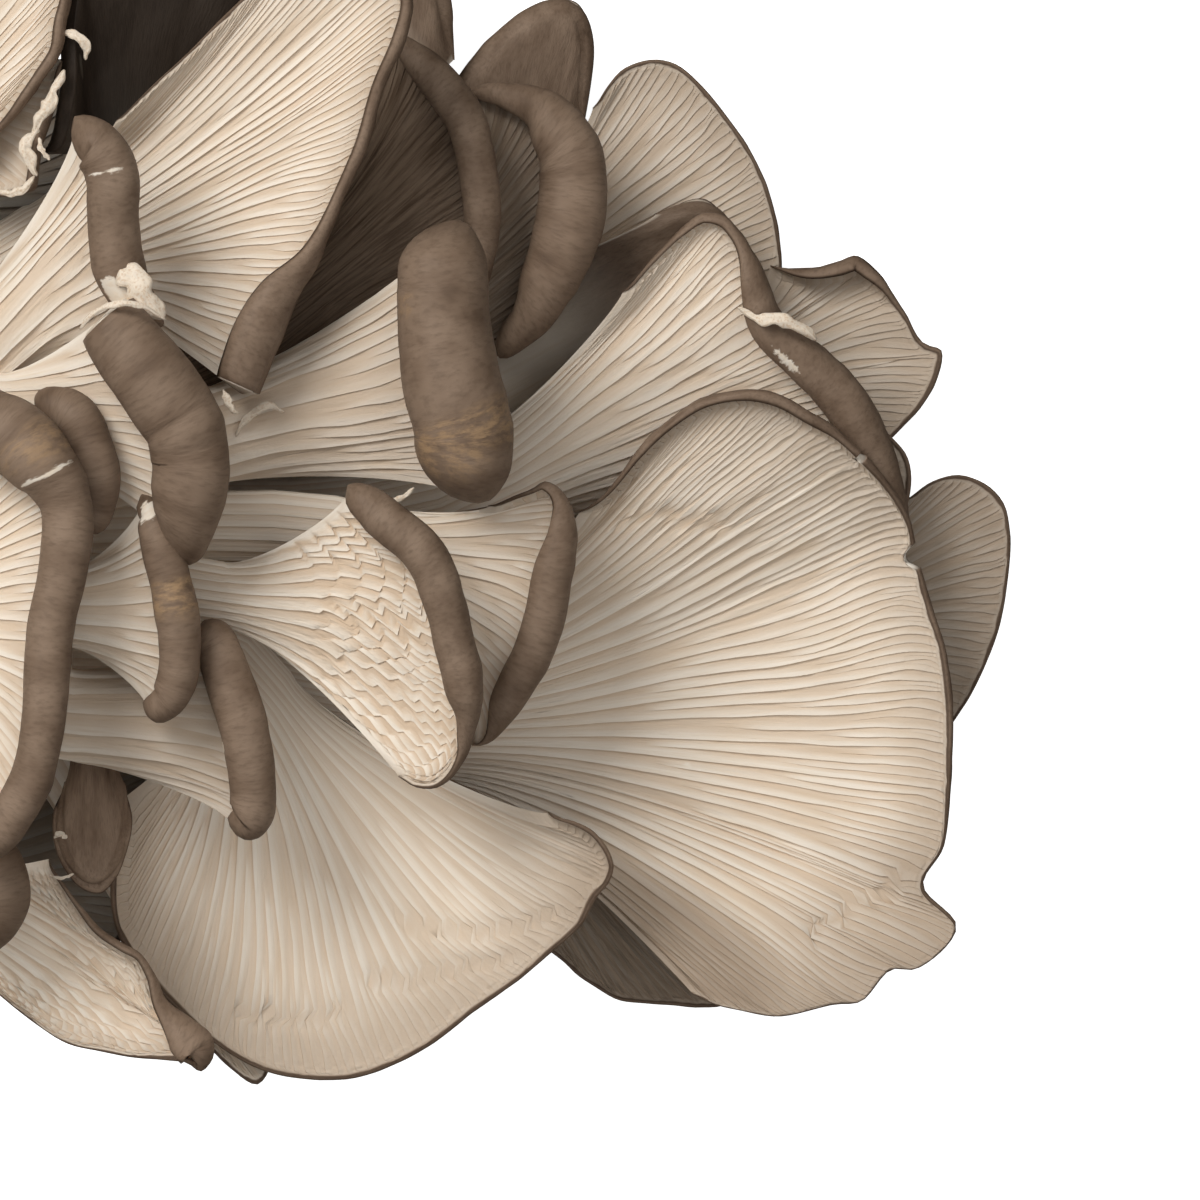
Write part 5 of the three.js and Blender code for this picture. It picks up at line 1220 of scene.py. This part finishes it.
# ---- torn flaps of flesh ---------------------------------------------------------------------
# Half width, thickness and the points that its middle line runs through.
FLAPS = {
    "cap_fold": (1.7, 0.3, [
        (-40.1, 47.3, 75), (-38.6, 45.9, 76.3), (-36.5, 44.0, 77.3), (-34.5, 41.5, 77.2), (-32.5, 39.0, 76),
    ]),
    "cap_lip": (0.5, 0.2, [
        (-43.8, 37.4, 80.5), (-42.0, 39.5, 81.8), (-38.8, 40.9, 82.6),
        (-35.2, 40.6, 82.4), (-32.0, 38.7, 80.6),
    ]),
    "fan_flap": (0.8, 0.25, [
        (47.4, 41.0, 38.5), (50.2, 39.4, 39.6), (54.0, 39.2, 40), (56.9, 37.9, 39), (58.3, 36.5, 38),
    ]),
    "white_curl": (0.6, 0.22, [
        (-46.9, 78.1, 66.5), (-45.9, 78.7, 67.6), (-44.3, 78.0, 68),
        (-43.2, 76.5, 67.6), (-43.5, 75.1, 66.8),
    ]),
    "ruffle_upper": (0.9, 0.25, [
        (-46.4, 73.6, 67), (-47.8, 71.1, 67.6), (-48.4, 68.9, 67.6),
        (-50.0, 66.9, 67.6), (-50.6, 64.7, 67.2),
    ]),
    "ruffle_middle": (0.8, 0.25, [
        (-50.0, 65.5, 67.2), (-52.0, 62.8, 67.6), (-51.1, 61.1, 67.6), (-50.3, 58.9, 67),
    ]),
    "ruffle_lower": (0.6, 0.25, [
        (-50.6, 58.9, 67), (-52.0, 56.9, 67.3), (-53.9, 56.4, 67.3), (-55.9, 56.9, 67),
    ]),
    "white_chip": (0.4, 0.2, [
        (-49.9, 64.2, 67.4), (-49.5, 62.5, 67.9), (-48.4, 61.1, 67.6),
    ]),
    "middle_lip": (0.5, 0.22, [
        (-22.8, 22.9, 54.5), (-21.7, 24.8, 55.6), (-19.7, 26.4, 56.4),
        (-18.0, 27.2, 56.4), (-16.1, 26.2, 55.6),
    ]),
    "middle_tear": (0.35, 0.2, [
        (-2.6, 12.3, 60), (-1.0, 13.5, 60.7), (0.9, 14.6, 61), (2.1, 15.6, 60.3),
    ]),
    "middle_chip": (0.4, 0.2, [
        (6.0, -5.0, 58), (7.1, -3.9, 59), (8.5, -3.5, 59.4), (10.2, -3.1, 58.6),
    ]),
    "roll_tear": (0.3, 0.15, [
        (3.1, 29.1, 61.5), (4.6, 28.9, 62.2), (6.0, 29.1, 62.6), (7.4, 29.4, 62.8),
    ]),
    "knuckle_chip": (0.4, 0.2, [
        (-48.1, -33.2, 56.5), (-47.3, -32.6, 57), (-46.3, -33.2, 57),
    ]),
    "knuckle_tear": (0.22, 0.15, [
        (-48.8, -38.5, 54.6), (-47.1, -38.8, 55.2), (-45.4, -38.2, 55.2),
    ]),
    "curl_lip": (0.5, 0.2, [
        (-24.3, 29.2, 68), (-23.8, 27.8, 68.4), (-22.9, 26.2, 68.2), (-22.3, 26.0, 67.8),
    ]),
}
FLAP_STEPS = 36  # points along a flap
FLAP_ACROSS = 8  # quads across it


def flap_mesh(name, half_width, thick, line):
    """A thin ragged strip, cupped across and tapering to both ends."""
    seed = len(name) + 3 * len(line)
    path = Rim([(*point, 0, 0) for point in line])
    s = np.linspace(0, 1, FLAP_STEPS)
    middle = path.at(s)[:, :3]
    along = unit(np.gradient(middle, axis=0))
    side = unit(np.cross(along, np.array([0.0, 0.0, 1.0])))
    up = np.cross(side, along)
    t = np.linspace(-1, 1, FLAP_ACROSS + 1)
    reach = half_width * (0.25 + 0.75 * np.sin(np.pi * s) ** 0.6)
    ragged = 1 + 0.45 * field(s[:, None] * 9, 3 * np.sign(t)[None] + 0 * s[:, None], seed)
    cup = 0.35 * half_width * (1 - t**2)[None]
    cup = cup + 0.22 * half_width * field(s[:, None] * 7, t[None] * 2, seed + 5)
    thin = thick * (1 - 0.75 * t[None] ** 2) * np.clip(np.sin(np.pi * s) * 3, 0.2, 1)[:, None]
    spread = (reach[:, None] * t[None] * ragged)[..., None] * side[:, None]
    upper = middle[:, None] + spread + cup[..., None] * up[:, None]
    lower = upper - thin[..., None] * up[:, None]
    width = FLAP_ACROSS + 1
    count = FLAP_STEPS * width
    ids = np.arange(count).reshape(FLAP_STEPS, width)
    faces = quads(ids)
    faces += [[d + count, c + count, b + count, a + count] for a, b, c, d in faces]
    ring = list(ids[0]) + list(ids[1:, -1]) + list(ids[-1, -2::-1]) + list(ids[-2:0:-1, 0])
    for here, after in zip(ring, ring[1:] + ring[:1]):
        faces.append((after, here, here + count, after + count))
    points = np.concatenate([upper.reshape(-1, 3), lower.reshape(-1, 3)])
    grain = np.zeros((2 * count, 3))
    grain[:, 0] = np.tile(np.repeat(s * path.length, width), 2)
    grain[:, 1] = np.tile(np.tile(t * half_width, FLAP_STEPS), 2)
    grain[:, 2] = seed * 11.0
    return points, faces, grain


def flap_material():
    """Moist torn flesh, white to cream."""
    s = Shader("torn_flesh")
    grain = s.attribute("grain", "Vector")
    streak = s.noise(s.stretch(grain, (0.5, 1.6, 1.0)), 1.0, 3.0, 0.6)
    speck = s.noise(grain, 3.1, 2.0)
    colour = s.mix(s.span(streak, 0.3, 0.6), FLAP_CREAM, GILL_WARM)
    colour = s.mix(s.span(speck, 0.45, 0.75, 0.0, 0.8), colour, TAN_AND_GROOVE_SHADE)
    surface = s.surface(colour, roughness=0.45, gloss=0.35)
    s.bump(surface, streak, distance=0.0003, strength=0.6)
    return s.material


# ---- build -----------------------------------------------------------------------------------
def build_flaps():
    """Flaps where margins and caps have torn."""
    material = flap_material()
    for name, (half_width, thick, line) in FLAPS.items():
        points, faces, grain = flap_mesh(name, half_width, thick, line)
        piece = make_object("torn_" + name, points, faces, {}, grain, material)
        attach(piece, "root")


def build_mushrooms():
    """One piece for each mushroom, replacing its plain node."""
    for name, shape in SHAPES.items():
        m = Mushroom(**shape, **LOOKS.get(name, {}))
        points, faces, attributes, grain, column = mushroom_mesh(m)
        material = flesh_material("flesh_" + name, m)
        piece = make_object("fine_" + name, points, faces, attributes, grain, material, column)
        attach(piece, "root")
        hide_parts(name)


def build_knot():
    """The joined stems, replacing their plain node."""
    points, faces = knot_mesh()
    piece = make_object("fine_stem_knot", points, faces, {}, points, stem_material())
    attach(piece, "root")
    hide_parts("stem_knot")


# ---- studio, metres --------------------------------------------------------------------------
FLOOR_REACH = 3.0
KEY_LAMP = dict(
    place=(-0.62, 0.68, 1.1), aim=(0.0, 0.0, 0.03), width=0.7, power=12.0, colour=(1.0, 0.985, 0.96),
)
SKY_LAMP = dict(
    place=(0.0, 0.0, 1.1), aim=(0.0, 0.0, 0.0), width=3.4, power=21.0, colour=(1.0, 0.99, 0.975),
)
BACKDROP = (1.0, 0.92, 0.83, 1.0)
BACKDROP_STRENGTH = 0.03
SENSOR_WIDTH = 36.0  # millimetres
CAMERA_DISTANCE = 2.6
VIEW_WIDTH = 0.168  # width of the view at the distance of its centre
VIEW_CENTRE = ((28 - CENTRE_X) / 1000, -CENTRE_Y / 1000, 0.038)


def lamp(name, place, aim, width, power, colour):
    """A round soft lamp that shines from its place towards its aim."""
    light = bpy.data.lights.new(name, "AREA")
    light.shape = "DISK"
    light.size = width
    light.energy = power
    light.color = colour
    made = bpy.data.objects.new(name, light)
    made.location = place
    made.rotation_euler = (Vector(aim) - Vector(place)).to_track_quat("-Z", "Y").to_euler()
    bpy.context.scene.collection.objects.link(made)


def build_studio():
    """White floor, soft light from the upper left, and a camera straight above."""
    scene = bpy.context.scene
    mesh = bpy.data.meshes.new("floor")
    corners = [(FLOOR_REACH * a, FLOOR_REACH * b, 0) for a, b in ((-1, -1), (1, -1), (1, 1), (-1, 1))]
    mesh.from_pydata(corners, [], [(0, 1, 2, 3)])
    mesh.materials.append(floor_material())
    floor = bpy.data.objects.new("floor", mesh)
    scene.collection.objects.link(floor)
    floor.visible_diffuse = False
    floor.visible_glossy = False

    lamp("key", **KEY_LAMP)
    lamp("sky", **SKY_LAMP)
    world = bpy.data.worlds.new("studio")
    world.use_nodes = True
    backdrop = world.node_tree.nodes["Background"]
    backdrop.inputs[0].default_value = BACKDROP
    backdrop.inputs[1].default_value = BACKDROP_STRENGTH
    scene.world = world

    camera = bpy.data.cameras.new("camera")
    camera.sensor_width = SENSOR_WIDTH
    camera.lens = SENSOR_WIDTH * CAMERA_DISTANCE / VIEW_WIDTH
    camera.clip_end = 10.0
    made = bpy.data.objects.new("camera", camera)
    made.location = Vector(VIEW_CENTRE) + Vector((0, 0, CAMERA_DISTANCE))
    scene.collection.objects.link(made)
    scene.camera = made
    scene.view_settings.view_transform = "Standard"
    scene.view_settings.look = "None"


build_mushrooms()
build_knot()
build_flaps()
build_studio()
